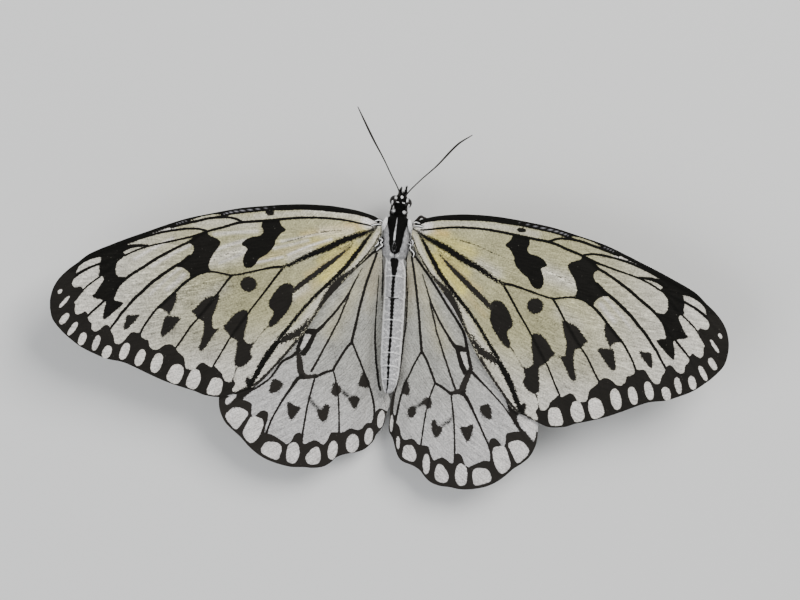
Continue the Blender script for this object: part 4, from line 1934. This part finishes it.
    def scale_spots(self, rng: random.Random) -> bpy.types.Object:
        """Makes the white spots of dense scales on head and neck, some of them on the eyes' rims.

        Args:
            rng: The source of their scatter.

        Returns:
            The finished piece.
        """
        spots = Coat()
        eye = Eyes()
        for spot_s, spot_t, half_s, half_t, count in SCALE_SPOTS:
            for _ in range(count):
                turn, out = rng.uniform(0.0, 2.0 * math.pi), math.sqrt(rng.random())
                s = spot_s + half_s * out * math.cos(turn)
                t = spot_t + half_t * out * math.sin(turn)
                centre_s, centre_z, wide, high = self.section(np.array([t]))[0]
                z = centre_z + high * math.sqrt(max(0.0, 1.0 - ((s - centre_s) / wide) ** 2))
                z = max(z, eye.top(s, t))
                root = np.array((s, t, z + (0.10 if t > 8.0 else 0.03)))
                up = unit(np.array((s - centre_s, 0.0, z - centre_z)))
                share = self.head_share(t)
                root = root * (1 - share) + FRAME.swing(root) * share
                run = np.array((0.25 * rng.uniform(-1, 1), -1.0, 0.0)) + up * 0.25
                spots.hair(root - up * 0.02, run, up, 0.20 + 0.08 * rng.random(), 0.085, 0.3,
                           0.97, (0.5 + 0.1 * s, t / 10.0))
        return spots.dress("head_spots", hair_finish("spot_scales"))

    def grow(self, coat: Coat, rng: random.Random, t: np.ndarray, length: float, lift: float) -> None:
        """Grows hairs from the skin, all lying towards the rear.

        Args:
            coat: Where they are gathered.
            rng: The source of their scatter.
            t: The place of each along the body.
            length: Their mean length.
            lift: How far they stand off the skin.
        """
        turn = np.array([rng.uniform(-math.pi, math.pi) for _ in t])
        root = self.surface(t, turn)
        round_it = unit(self.surface(t, turn + 0.02) - root)
        along = unit(self.surface(t - 0.05, turn) - root)
        up = unit(np.cross(along, round_it))
        section = self.section(t)
        centre = np.column_stack((section[:, 0], t, section[:, 1]))
        up *= np.where(((root - centre) * up).sum(axis=1) < 0, -1.0, 1.0)[:, None]
        levels = self.tone(root[:, 0], t, turn)
        for i in range(len(t)):
            run = along[i] + up[i] * lift + round_it[i] * rng.uniform(-0.3, 0.3)
            patch = ((turn[i] / (2 * math.pi)) % 1.0, (t[i] + 30.0) / 40.0)
            coat.hair(root[i] - up[i] * 0.04, run, up[i], length * rng.uniform(0.7, 1.25), 0.06, 0.10,
                      levels[i] + rng.uniform(-0.08, 0.08), patch)

    def wing_base_tufts(self, rng: random.Random) -> bpy.types.Object:
        """Makes the curled white and black hair at the hindwing roots and over the shoulders.

        Args:
            rng: The source of their scatter.

        Returns:
            The finished piece.
        """
        tufts = Coat()
        for side in Side:
            for _ in range(self.tuft_hairs):
                share = rng.random()
                start = np.array((side.value * (2.45 + 0.5 * rng.random()), 0.3 - 3.2 * share,
                                  10.1 - 0.75 * share + 0.3 * rng.random()))
                swirl = math.sin(share * 9.0) * 0.9
                run = np.array((side.value * (0.75 + 0.3 * rng.random()), -0.8 + swirl * 0.6,
                                0.15 + 0.35 * rng.random()))
                black = rng.random() < (0.65 if 0.38 < share < 0.55 or share > 0.85 else 0.12)
                tufts.hair(start, run, np.array((0.0, 0.0, 1.0)), 0.7 + 0.7 * rng.random(), 0.085,
                           0.35 + 0.4 * rng.random(), 0.05 if black else 0.95,
                           (0.5 + 0.3 * side.value, share), 5)
        return tufts.dress("wing_base_hair", hair_finish("tuft_hair"))


# Head parts

@dataclass
class Eyes:
    """The two compound eyes."""

    centre: tuple = (1.27, 7.5, 9.05)
    half: tuple = (0.93, 1.05, 1.15)

    def build(self) -> list[bpy.types.Object]:
        """Makes both eyes as domes set into the head.

        Returns:
            The finished eyes.
        """
        made = []
        for side in Side:
            obj, ball = unit_ball(f"eye_dome_{side.word}", 64, 40)
            points = np.stack((side.value * self.centre[0] + ball[:, 2] * self.half[0],
                               self.centre[1] + ball[:, 0] * self.half[1],
                               self.centre[2] + ball[:, 1] * self.half[2]), axis=1)
            shape_ball(obj, FRAME.swing(points))
            made.append(settle(obj, EyeFinish().build(), (f"eye_{side.word}",), 60.0))
        return made

    def top(self, s: float, t: float) -> float:
        """Height of an eye's dome over a place, or 0 beside it.

        Args:
            s: The sideways place.
            t: The place along the body.

        Returns:
            The height in millimetres.
        """
        across, along = (abs(s) - self.centre[0]) / self.half[0], (t - self.centre[1]) / self.half[1]
        dome = 1.0 - across**2 - along**2
        return self.centre[2] + self.half[2] * math.sqrt(dome) if dome > 0 else 0.0


@dataclass
class Feelers:
    """The two antennae, ringed and a little thicker before the tip."""

    right: tuple = ((0.82, 8.0, 9.3), (1.33, 9.2, 10.5), (3.7, 12.0, 13.3), (6.5, 14.9, 15.7),
                    (10.1, 19.3, 18.2), (12.7, 21.3, 19.4))
    left: tuple = ((-0.1, 8.1, 9.3), (-0.35, 9.6, 10.7), (-2.2, 12.6, 13.3), (-3.9, 15.4, 15.3),
                   (-6.3, 19.0, 17.5), (-9.7, 24.6, 19.6))
    radii: tuple = (0.19, 0.13, 0.12, 0.12, 0.125, 0.14, 0.17, 0.20, 0.20, 0.16, 0.08)
    segment: float = 0.55

    def build(self) -> list[bpy.types.Object]:
        """Makes both feelers.

        Returns:
            The finished feelers.
        """
        made = []
        for side, corners in ((Side.RIGHT, self.right), (Side.LEFT, self.left)):
            path = smooth_line(corners, 0.11)
            run = travelled(path)
            radii = spread(run / run[-1], self.radii)
            phase = (run % self.segment) / self.segment
            radii = radii * (0.90 + 0.16 * np.sin(phase * math.pi) ** 0.6)
            name = f"antenna_{side.word}"
            obj = mesh_piece(f"{name}_rings", *tube_mesh(path, radii, 12), 0.0)
            made.append(settle(obj, HornFinish("feeler_horn").build(), (name,), 70.0))
        return made


@dataclass
class Mouth:
    """Palps beside the face and the coiled tongue between them."""

    palp: tuple = ((0.42, 7.7, 7.75), (0.5, 8.9, 7.2), (0.52, 9.75, 8.1), (0.5, 9.95, 9.15))
    palp_radii: tuple = (0.36, 0.42, 0.36, 0.20, 0.10)
    palp_joints: tuple = (0.34, 0.76)
    palp_bristles: int = 260
    coil_centre: tuple = (8.15, 5.35)
    coil_outer: float = 1.55
    coil_inner: float = 0.36
    coil_turns: float = 1.75
    coil_start: float = math.radians(100.0)
    coil_steps: int = 260
    seed: int = 21

    def build(self) -> list[bpy.types.Object]:
        """Makes the palps with their scales, and the tongue."""
        return [*(self.make_palp(side) for side in Side), self.make_scales(), self.make_tongue()]

    def palp_path(self, side: Side) -> np.ndarray:
        """A palp's middle line, turned with the head.

        Args:
            side: The palp's side.

        Returns:
            The line's points in millimetres.
        """
        reach = 0.75 if side is Side.RIGHT else 0.3
        *corners, end = self.palp
        path = smooth_line((*corners, (end[0], end[1] + reach, end[2] - 0.1)), 0.08)
        path[:, 0] *= side.value
        return FRAME.swing(path)

    def make_palp(self, side: Side) -> bpy.types.Object:
        """Makes one palp of three joints.

        Args:
            side: The palp's side.

        Returns:
            The finished palp.
        """
        path = self.palp_path(side)
        share = np.linspace(0, 1, len(path))
        radii = spread(share, self.palp_radii)
        for joint in self.palp_joints:
            radii *= 1.0 - 0.22 * bell((share - joint) / 0.03)
        points, faces = tube_mesh(path, radii, 20)
        tone = np.clip((7.6 - points[:, 2]) * 1.4, 0, 0.95)
        obj = mesh_piece(f"palp_{side.word}_joints", points, faces, tone)
        return settle(obj, PileFinish("palp_pile").build(), (f"palp_{side.word}",), 70.0)

    def make_scales(self) -> bpy.types.Object:
        """Makes the bristles that stand out round the palps.

        Returns:
            The finished bristles of both palps.
        """
        rng = random.Random(self.seed)
        coat = Coat()
        for side in Side:
            path = self.palp_path(side)
            for _ in range(self.palp_bristles):
                i = rng.randrange(4, len(path) - 1)
                ahead = path[i] - path[i - 1]
                out = sideways(rng, ahead)
                radius = spread(i / len(path), self.palp_radii)
                run = unit(ahead) + out * 0.5
                white = 0.95 if path[i][2] < 7.7 and out[1] > -0.4 else 0.03
                coat.hair(path[i] + out * radius * 0.85, run, out, 0.24 + 0.14 * rng.random(), 0.06, -0.1,
                          white, (0.5 + 0.2 * side.value, i / len(path)))
        return coat.dress("palp_bristles", hair_finish("palp_hair"))

    def make_tongue(self) -> bpy.types.Object:
        """Makes the tongue as a ribbed coil.

        Returns:
            The finished tongue.
        """
        steps = self.coil_steps
        share = np.linspace(0, 1, steps)
        radius = self.coil_outer + (self.coil_inner - self.coil_outer) * share
        angle = self.coil_start - 2 * math.pi * self.coil_turns * share
        coil = np.stack((np.zeros(steps), self.coil_centre[0] + radius * np.cos(angle),
                         self.coil_centre[1] + radius * np.sin(angle)), axis=1)
        stem = smooth_line((coil[0] + (0.0, -0.75, 0.65), coil[0] + (0.0, -0.3, 0.25), coil[0]), 0.05)
        path = FRAME.swing(np.vstack((stem[:-1], coil)))
        along = np.linspace(0, 1, len(path))
        radii = np.interp(along, (0, 0.3, 1.0), (0.24, 0.21, 0.10))
        radii = radii * (1.0 + 0.05 * np.sin(np.arange(len(path)) * 1.57))
        obj = mesh_piece("proboscis_coil", *tube_mesh(path, radii, 16), 0.0)
        return settle(obj, HornFinish("tongue_horn", (0.02, 0.014, 0.010)).build(),
                      ("proboscis",), 70.0)


# Legs and shoulder scales

@dataclass
class Leg:
    """One leg: hip, thigh, shin, a foot of five joints and its claws, with bristles."""

    name: str
    side: Side
    joints: tuple
    seed: int = 3
    foot_joints: int = 5
    bend_reach: float = 0.42
    sides: int = 14

    @property
    def walking(self) -> bool:
        """Whether the leg stands on the floor; a brush foreleg has one joint less."""
        return len(self.joints) == 5

    def path(self) -> np.ndarray:
        """The leg's middle line with its bends rounded.

        Returns:
            The line's points in millimetres.
        """
        corners = [np.array(joint, dtype=float) for joint in self.joints]
        line = [corners[0][None]]
        for before, corner, after in zip(corners, corners[1:], corners[2:]):
            enter = corner + unit(before - corner) * self.bend_reach
            leave = corner + unit(after - corner) * self.bend_reach
            line.append(np.stack((enter, (enter + 2 * corner + leave) / 4, leave)))
        line.append(corners[-1][None])
        rough = np.vstack(line)
        fine = [rough[:1]]
        for start, end in zip(rough[:-1], rough[1:]):
            count = max(1, round(np.linalg.norm(end - start) / 0.12))
            fine.append(start + (end - start) * (np.arange(1, count + 1) / count)[:, None])
        line = np.vstack(fine)
        line[:, 0] *= self.side.value
        return line

    def build(self, coat: Coat) -> bpy.types.Object:
        """Makes the leg and grows its bristles in a shared coat.

        Args:
            coat: Where the bristles of all legs are gathered.

        Returns:
            The finished leg.
        """
        rng = random.Random(f"{self.name}{self.side.word}{self.seed}")
        path = self.path()
        run = travelled(path)
        bends = travelled(np.array(self.joints))[1:]
        stations = [0.0, bends[0], bends[0] + 0.5, bends[1] * 0.97, bends[1] + 0.4, bends[-2], bends[-1]]
        values = [0.42, 0.34, 0.40, 0.30, 0.24, 0.20, 0.16]
        if self.walking:
            stations = [0.0, bends[0], bends[0] + 1.6, bends[1] - 0.3, bends[1] + 0.3, bends[2] - 0.4,
                        bends[2] + 0.4, bends[3]]
            values = [0.46, 0.38, 0.44, 0.28, 0.25, 0.23, 0.20, 0.16]
        radii = np.interp(run, stations, values)
        foot = np.linspace(bends[-2], bends[-1], self.foot_joints + 1)[1:-1] if self.walking else []
        for knee in (*bends[:-1], *foot):
            radii *= 1.0 + 0.16 * bell((run - knee + 0.10) / 0.12)
            radii *= 1.0 - 0.26 * bell((run - knee - 0.10) / 0.07)
        if self.walking:
            path[:, 2] = np.maximum(path[:, 2], radii + 0.005)
        points, faces = tube_mesh(path, radii, self.sides)
        points[:, 2] = np.maximum(points[:, 2], 0.0)
        below = np.zeros(len(points))
        for knee in bends[:2]:
            near = bell((np.append(np.repeat(run, self.sides), (0.0, run[-1])) - knee) / 2.2)
            below = np.maximum(below, 0.75 * near)
        middle = np.vstack((np.repeat(path, self.sides, axis=0), path[:1], path[-1:]))
        obj = mesh_piece(f"{self.name}_{self.side.word}_limb", points, faces,
                         below * (points[:, 2] < middle[:, 2] - 0.05))
        self.bristles(coat, rng, path, radii, run)
        return settle(obj, HornFinish("leg_horn").build(),
                      (f"{self.name}_{self.side.word}",), 60.0)

    def bristles(self, coat: Coat, rng: random.Random, path: np.ndarray, radii: np.ndarray,
                 run: np.ndarray) -> None:
        """Grows fine bristles on thigh, shin and foot, and the claws of a walking leg.

        Args:
            coat: Where they are gathered.
            rng: The source of their scatter.
            path: The leg's middle line.
            radii: The leg's radius at each point of it.
            run: The way along it to each point.
        """
        per_mm, reach, slant = (11, 0.30, 0.6) if self.walking else (26, 0.55, 0.45)
        for _ in range(int(run[-1] * per_mm)):
            i = rng.randrange(6, len(path) - 2)
            ahead = unit(path[i + 1] - path[i - 1])
            out = sideways(rng, ahead)
            root = path[i] + out * radii[i] * 0.85
            if root[2] < 0.15:
                continue
            length = reach * (0.7 + 0.6 * rng.random())
            coat.hair(root, ahead + out * slant, out, length, 0.045, 0.0, 0.05, (0.5, 0.5))
        if self.walking:
            self.claws(coat, path[-1], unit(path[-1] - path[-4]))

    def claws(self, coat: Coat, tip: np.ndarray, ahead: np.ndarray) -> None:
        """Adds the two claws at the end of the foot.

        Args:
            coat: Where they are gathered.
            tip: The foot's end.
            ahead: The direction in which the foot points.
        """
        up = np.array((0.0, 0.0, 1.0))
        across = np.cross(ahead, up)
        for sign in (1, -1):
            root = tip - ahead * 0.05 + across * sign * 0.06
            coat.hair(root, ahead + across * sign * 0.55 + up * 0.25, up, 0.42, 0.10, 0.35, 0.0,
                      (0.5, 0.6), 5)


@dataclass
class Legs:
    """Four walking legs that stand on the floor and the two small brush forelegs."""

    toe: float = 0.215
    fore: tuple = ((0.75, 3.5, 7.0), (1.15, 3.9, 5.3), (1.5, 5.6, 4.7), (1.35, 7.0, 5.9))

    def build(self) -> list[bpy.types.Object]:
        """Makes the six legs and their bristles.

        Returns:
            The finished legs and their bristles.
        """
        toe = self.toe
        plan = (
            ("midleg", Side.RIGHT, ((0.9, 0.9, 6.6), (1.8, 1.4, 4.9), (4.35, 5.15, 7.7),
                                    (10.1, 3.0, toe), (16.6, 3.4, toe))),
            ("midleg", Side.LEFT, ((0.9, 0.9, 6.6), (1.8, 1.3, 4.9), (5.0, 4.1, 7.8),
                                   (10.6, 1.2, toe), (17.0, 0.6, toe))),
            ("hindleg", Side.RIGHT, ((0.9, -1.7, 6.6), (1.8, -2.2, 4.9), (5.9, -8.8, 6.7),
                                     (8.0, -17.6, toe), (8.7, -25.4, toe))),
            ("hindleg", Side.LEFT, ((0.9, -1.7, 6.6), (1.8, -2.2, 4.9), (6.4, -8.2, 6.8),
                                    (9.3, -16.6, toe), (11.2, -24.2, toe))),
            ("foreleg", Side.RIGHT, self.fore),
            ("foreleg", Side.LEFT, self.fore),
        )
        coat = Coat()
        made = [Leg(name, side, joints).build(coat) for name, side, joints in plan]
        return [*made, coat.dress("leg_bristles", HornFinish("bristle_horn").build())]


@dataclass
class Tegulae:
    """The white tufts of long scales over the forewing roots."""

    centre: tuple = (2.42, 3.1, 11.3)
    half: tuple = (0.40, 1.22, 0.44)
    turn: float = math.radians(11.0)
    scales: int = 260
    seed: int = 5

    def build(self) -> list[bpy.types.Object]:
        """Makes both pads, each with its long scales.

        Returns:
            The finished pads and tufts.
        """
        rng = random.Random(self.seed)
        made = []
        for side in Side:
            obj, ball = unit_ball(f"tegula_{side.word}_pad", 32, 20)
            shape_ball(obj, self.place(side, ball))
            store(obj.data, "tone", np.ones(len(ball)))
            finish = PileFinish(f"tegula_scales_{side.word}").build()
            made.append(settle(obj, finish, (f"tegula_{side.word}",), 70.0))
            coat = Coat()
            for _ in range(self.scales):
                turn, rise = rng.uniform(-math.pi, math.pi), rng.uniform(-0.2, 1.0)
                flat = math.sqrt(max(0.0, 1 - rise * rise))
                spot = np.array([[flat * math.cos(turn), flat * math.sin(turn), rise]])
                root = self.place(side, spot * 0.93)[0]
                out = unit(root - self.place(side, np.zeros((1, 3)))[0])
                run = np.array((side.value * 0.35, -1.0, 0.0)) + out * 0.35
                rim = rise < 0.12 and rng.random() < 0.6
                coat.hair(root, run, out, 0.45 + 0.35 * rng.random(), 0.11, 0.25,
                          0.0 if rim else 0.92 + 0.08 * rng.random(), (0.5 + 0.2 * side.value, 0.5))
            made.append(coat.dress(f"tegula_{side.word}_tuft", finish))
        return made

    def place(self, side: Side, ball: np.ndarray) -> np.ndarray:
        """Puts points of a unit ball on the pad, which lies askew.

        Args:
            side: The pad's side.
            ball: Points of a ball of radius 1.

        Returns:
            The points on the pad in millimetres.
        """
        s, t = ball[:, 0] * self.half[0], ball[:, 1] * self.half[1]
        cosine, sine = math.cos(self.turn), math.sin(self.turn)
        out_s = self.centre[0] + cosine * s - sine * t
        out_t = self.centre[1] + sine * s + cosine * t
        height = self.centre[2] + np.where(ball[:, 2] > 0, ball[:, 2], 0.6 * ball[:, 2]) * self.half[2]
        return np.stack((side.value * out_s, out_t, height), axis=1)


@dataclass
class RootFolds:
    """The curled white folds and black hinge lines where the wings meet the thorax."""

    lift: float = 0.24
    fold: float = 0.125
    rim: float = 0.075
    rim_shift: float = 0.17
    hinge: float = 0.10
    white: tuple = (
        ((2.45, -0.5), (2.96, -0.68), (2.9, -1.25), (3.1, -1.6), (3.45, -1.85), (3.75, -2.3), (3.65, -2.95)),
        ((3.05, 0.3), (3.35, -0.15), (3.3, -0.6)),
        ((2.95, 3.55), (3.55, 3.8), (4.3, 3.65)),
        ((3.25, 3.05), (4.1, 3.15), (5.1, 3.0)),
        ((-3.25, 0.1), (-2.6, -0.25), (-2.9, -0.8), (-2.5, -1.25), (-3.05, -1.75), (-3.55, -2.35)),
        ((-3.3, -0.7), (-3.5, -1.2), (-3.9, -1.6)),
        ((-2.9, 3.3), (-3.6, 3.55), (-4.4, 3.25)),
        ((-3.2, 2.75), (-4.1, 2.65), (-5.0, 2.35)),
    )
    black: tuple = (
        ((3.02, 3.6), (2.98, 2.7), (3.45, 2.35), (4.25, 1.95)),
        ((2.95, 1.1), (3.0, 0.5), (2.75, 0.0), (2.65, -0.75), (2.75, -1.15), (3.2, -1.1), (3.3, -1.55),
         (3.75, -1.75), (4.05, -2.35), (3.9, -2.85)),
        ((2.65, -1.5), (2.95, -2.0), (3.3, -2.2), (3.35, -2.7)),
        ((-3.02, 3.3), (-2.98, 2.65), (-3.5, 2.55), (-4.35, 2.1)),
        ((-2.9, 1.0), (-3.0, 0.45), (-2.5, 0.1), (-2.45, -0.6), (-2.75, -0.95), (-2.25, -1.35),
         (-2.8, -2.0), (-3.3, -2.6)),
        ((-3.6, 0.0), (-3.15, -0.5), (-3.2, -1.2), (-3.6, -1.75), (-4.0, -2.2)),
    )

    def build(self) -> list[bpy.types.Object]:
        """Makes the folds and lines as tubes joined in one piece.

        Returns:
            The finished piece, alone in a list.
        """
        points, faces, tones, count = [], [], [], 0
        for lines, radius, tone, shift in (
                (self.white, self.fold, 1.0, 0.0), (self.white, self.rim, 0.0, self.rim_shift),
                (self.white, self.rim, 0.0, -self.rim_shift), (self.black, self.hinge, 0.0, 0.0)):
            for line in lines:
                plan = smooth_line(line, 0.08)
                run = unit(np.gradient(plan, axis=0))
                plan = plan + shift * np.stack((-run[:, 1], run[:, 0]), axis=1)
                height = FRAME.lie(np.abs(plan[:, 0]), plan[:, 1]) + self.lift
                along = np.linspace(0.0, 1.0, len(plan))
                radii = radius * (0.45 + 0.55 * np.sin(np.clip(along, 0.02, 0.98) * math.pi) ** 0.5)
                radii *= 1.0 + 0.12 * np.sin(along * 40.0)
                tube, quads = tube_mesh(np.column_stack((plan, height)), radii, 12)
                points.append(tube)
                faces.extend(tuple(corner + count for corner in face) for face in quads)
                tones.append(np.full(len(tube), tone))
                count += len(tube)
        obj = mesh_piece("wing_root_folds", np.vstack(points), faces, np.concatenate(tones))
        return [settle(obj, PileFinish("fold_pile").build(), (), 70.0)]


# Floor, light and camera

@dataclass
class Studio:
    """Pale floor, soft light and the camera of the photograph."""

    roll: float = math.radians(5.5)
    per_mm: float = 5.15
    centre_pixel: tuple = (395.9, 240.0)
    picture: tuple = (800, 600)
    distance: float = 0.70
    wing_plane: float = 11.0
    sensor: float = 36.0

    def build(self) -> None:
        """Makes floor, lamps, surroundings and camera."""
        self.floor()
        self.lamp("soft_key", (-0.34, -0.42, 0.62), 0.45, 6.2, (1.0, 0.99, 0.97))
        self.lamp("soft_fill", (0.46, 0.30, 0.55), 0.60, 3.0, (0.97, 0.98, 1.0))
        world = bpy.data.worlds.new("surroundings")
        world.use_nodes = True
        glow = world.node_tree.nodes["Background"].inputs
        glow["Color"].default_value = (0.93, 0.96, 1.0, 1.0)
        glow["Strength"].default_value = 0.44
        bpy.context.scene.world = world
        self.camera()

    def floor(self) -> None:
        """Makes the floor."""
        deselect()
        bpy.ops.mesh.primitive_plane_add(size=3.0)
        obj = bpy.context.object
        obj.name = obj.data.name = "pale_floor"
        obj.data.materials.append(FloorFinish().build())

    def lamp(self, name: str, place: tuple, size: float, power: float, colour: Colour) -> None:
        """Makes one large soft lamp that points at the model.

        Args:
            name: The lamp's name.
            place: Where it stands in metres.
            size: The length of its side in metres.
            power: Its power in watts.
            colour: Its colour.
        """
        data = bpy.data.lights.new(name, "AREA")
        data.shape = "SQUARE"
        data.size = size
        data.energy = power
        data.color = colour
        obj = bpy.data.objects.new(name, data)
        obj.location = place
        obj.rotation_euler = (-Vector(place)).to_track_quat("-Z", "Y").to_euler()
        bpy.context.scene.collection.objects.link(obj)

    def camera(self) -> None:
        """Places the camera straight over the wings, turned as in the photograph."""
        right = (self.picture[0] / 2 - self.centre_pixel[0]) / self.per_mm
        up = (self.centre_pixel[1] - self.picture[1] / 2) / self.per_mm
        cosine, sine = math.cos(self.roll), math.sin(self.roll)
        s, t = right * cosine - up * sine, right * sine + up * cosine
        x, y, z = FRAME.world(np.array(s), np.array(t), np.array(self.wing_plane))
        data = bpy.data.cameras.new("camera")
        data.sensor_width = self.sensor
        width = self.picture[0] / self.per_mm * MM
        data.lens = self.sensor * self.distance / width
        data.clip_start, data.clip_end = 0.01, 10.0
        obj = bpy.data.objects.new("camera", data)
        obj.location = (x, y, z + self.distance)
        obj.rotation_euler = (0.0, 0.0, math.pi + self.roll)
        bpy.context.scene.collection.objects.link(obj)
        bpy.context.scene.camera = obj


def main() -> None:
    """Builds every piece in order."""
    logging.basicConfig(level=logging.INFO, format="%(name)s %(message)s")
    Studio().build()
    WingSet().build()
    BodySkin().build()
    Eyes().build()
    Feelers().build()
    Mouth().build()
    Legs().build()
    Tegulae().build()
    RootFolds().build()


if __name__ == "__main__":
    main()
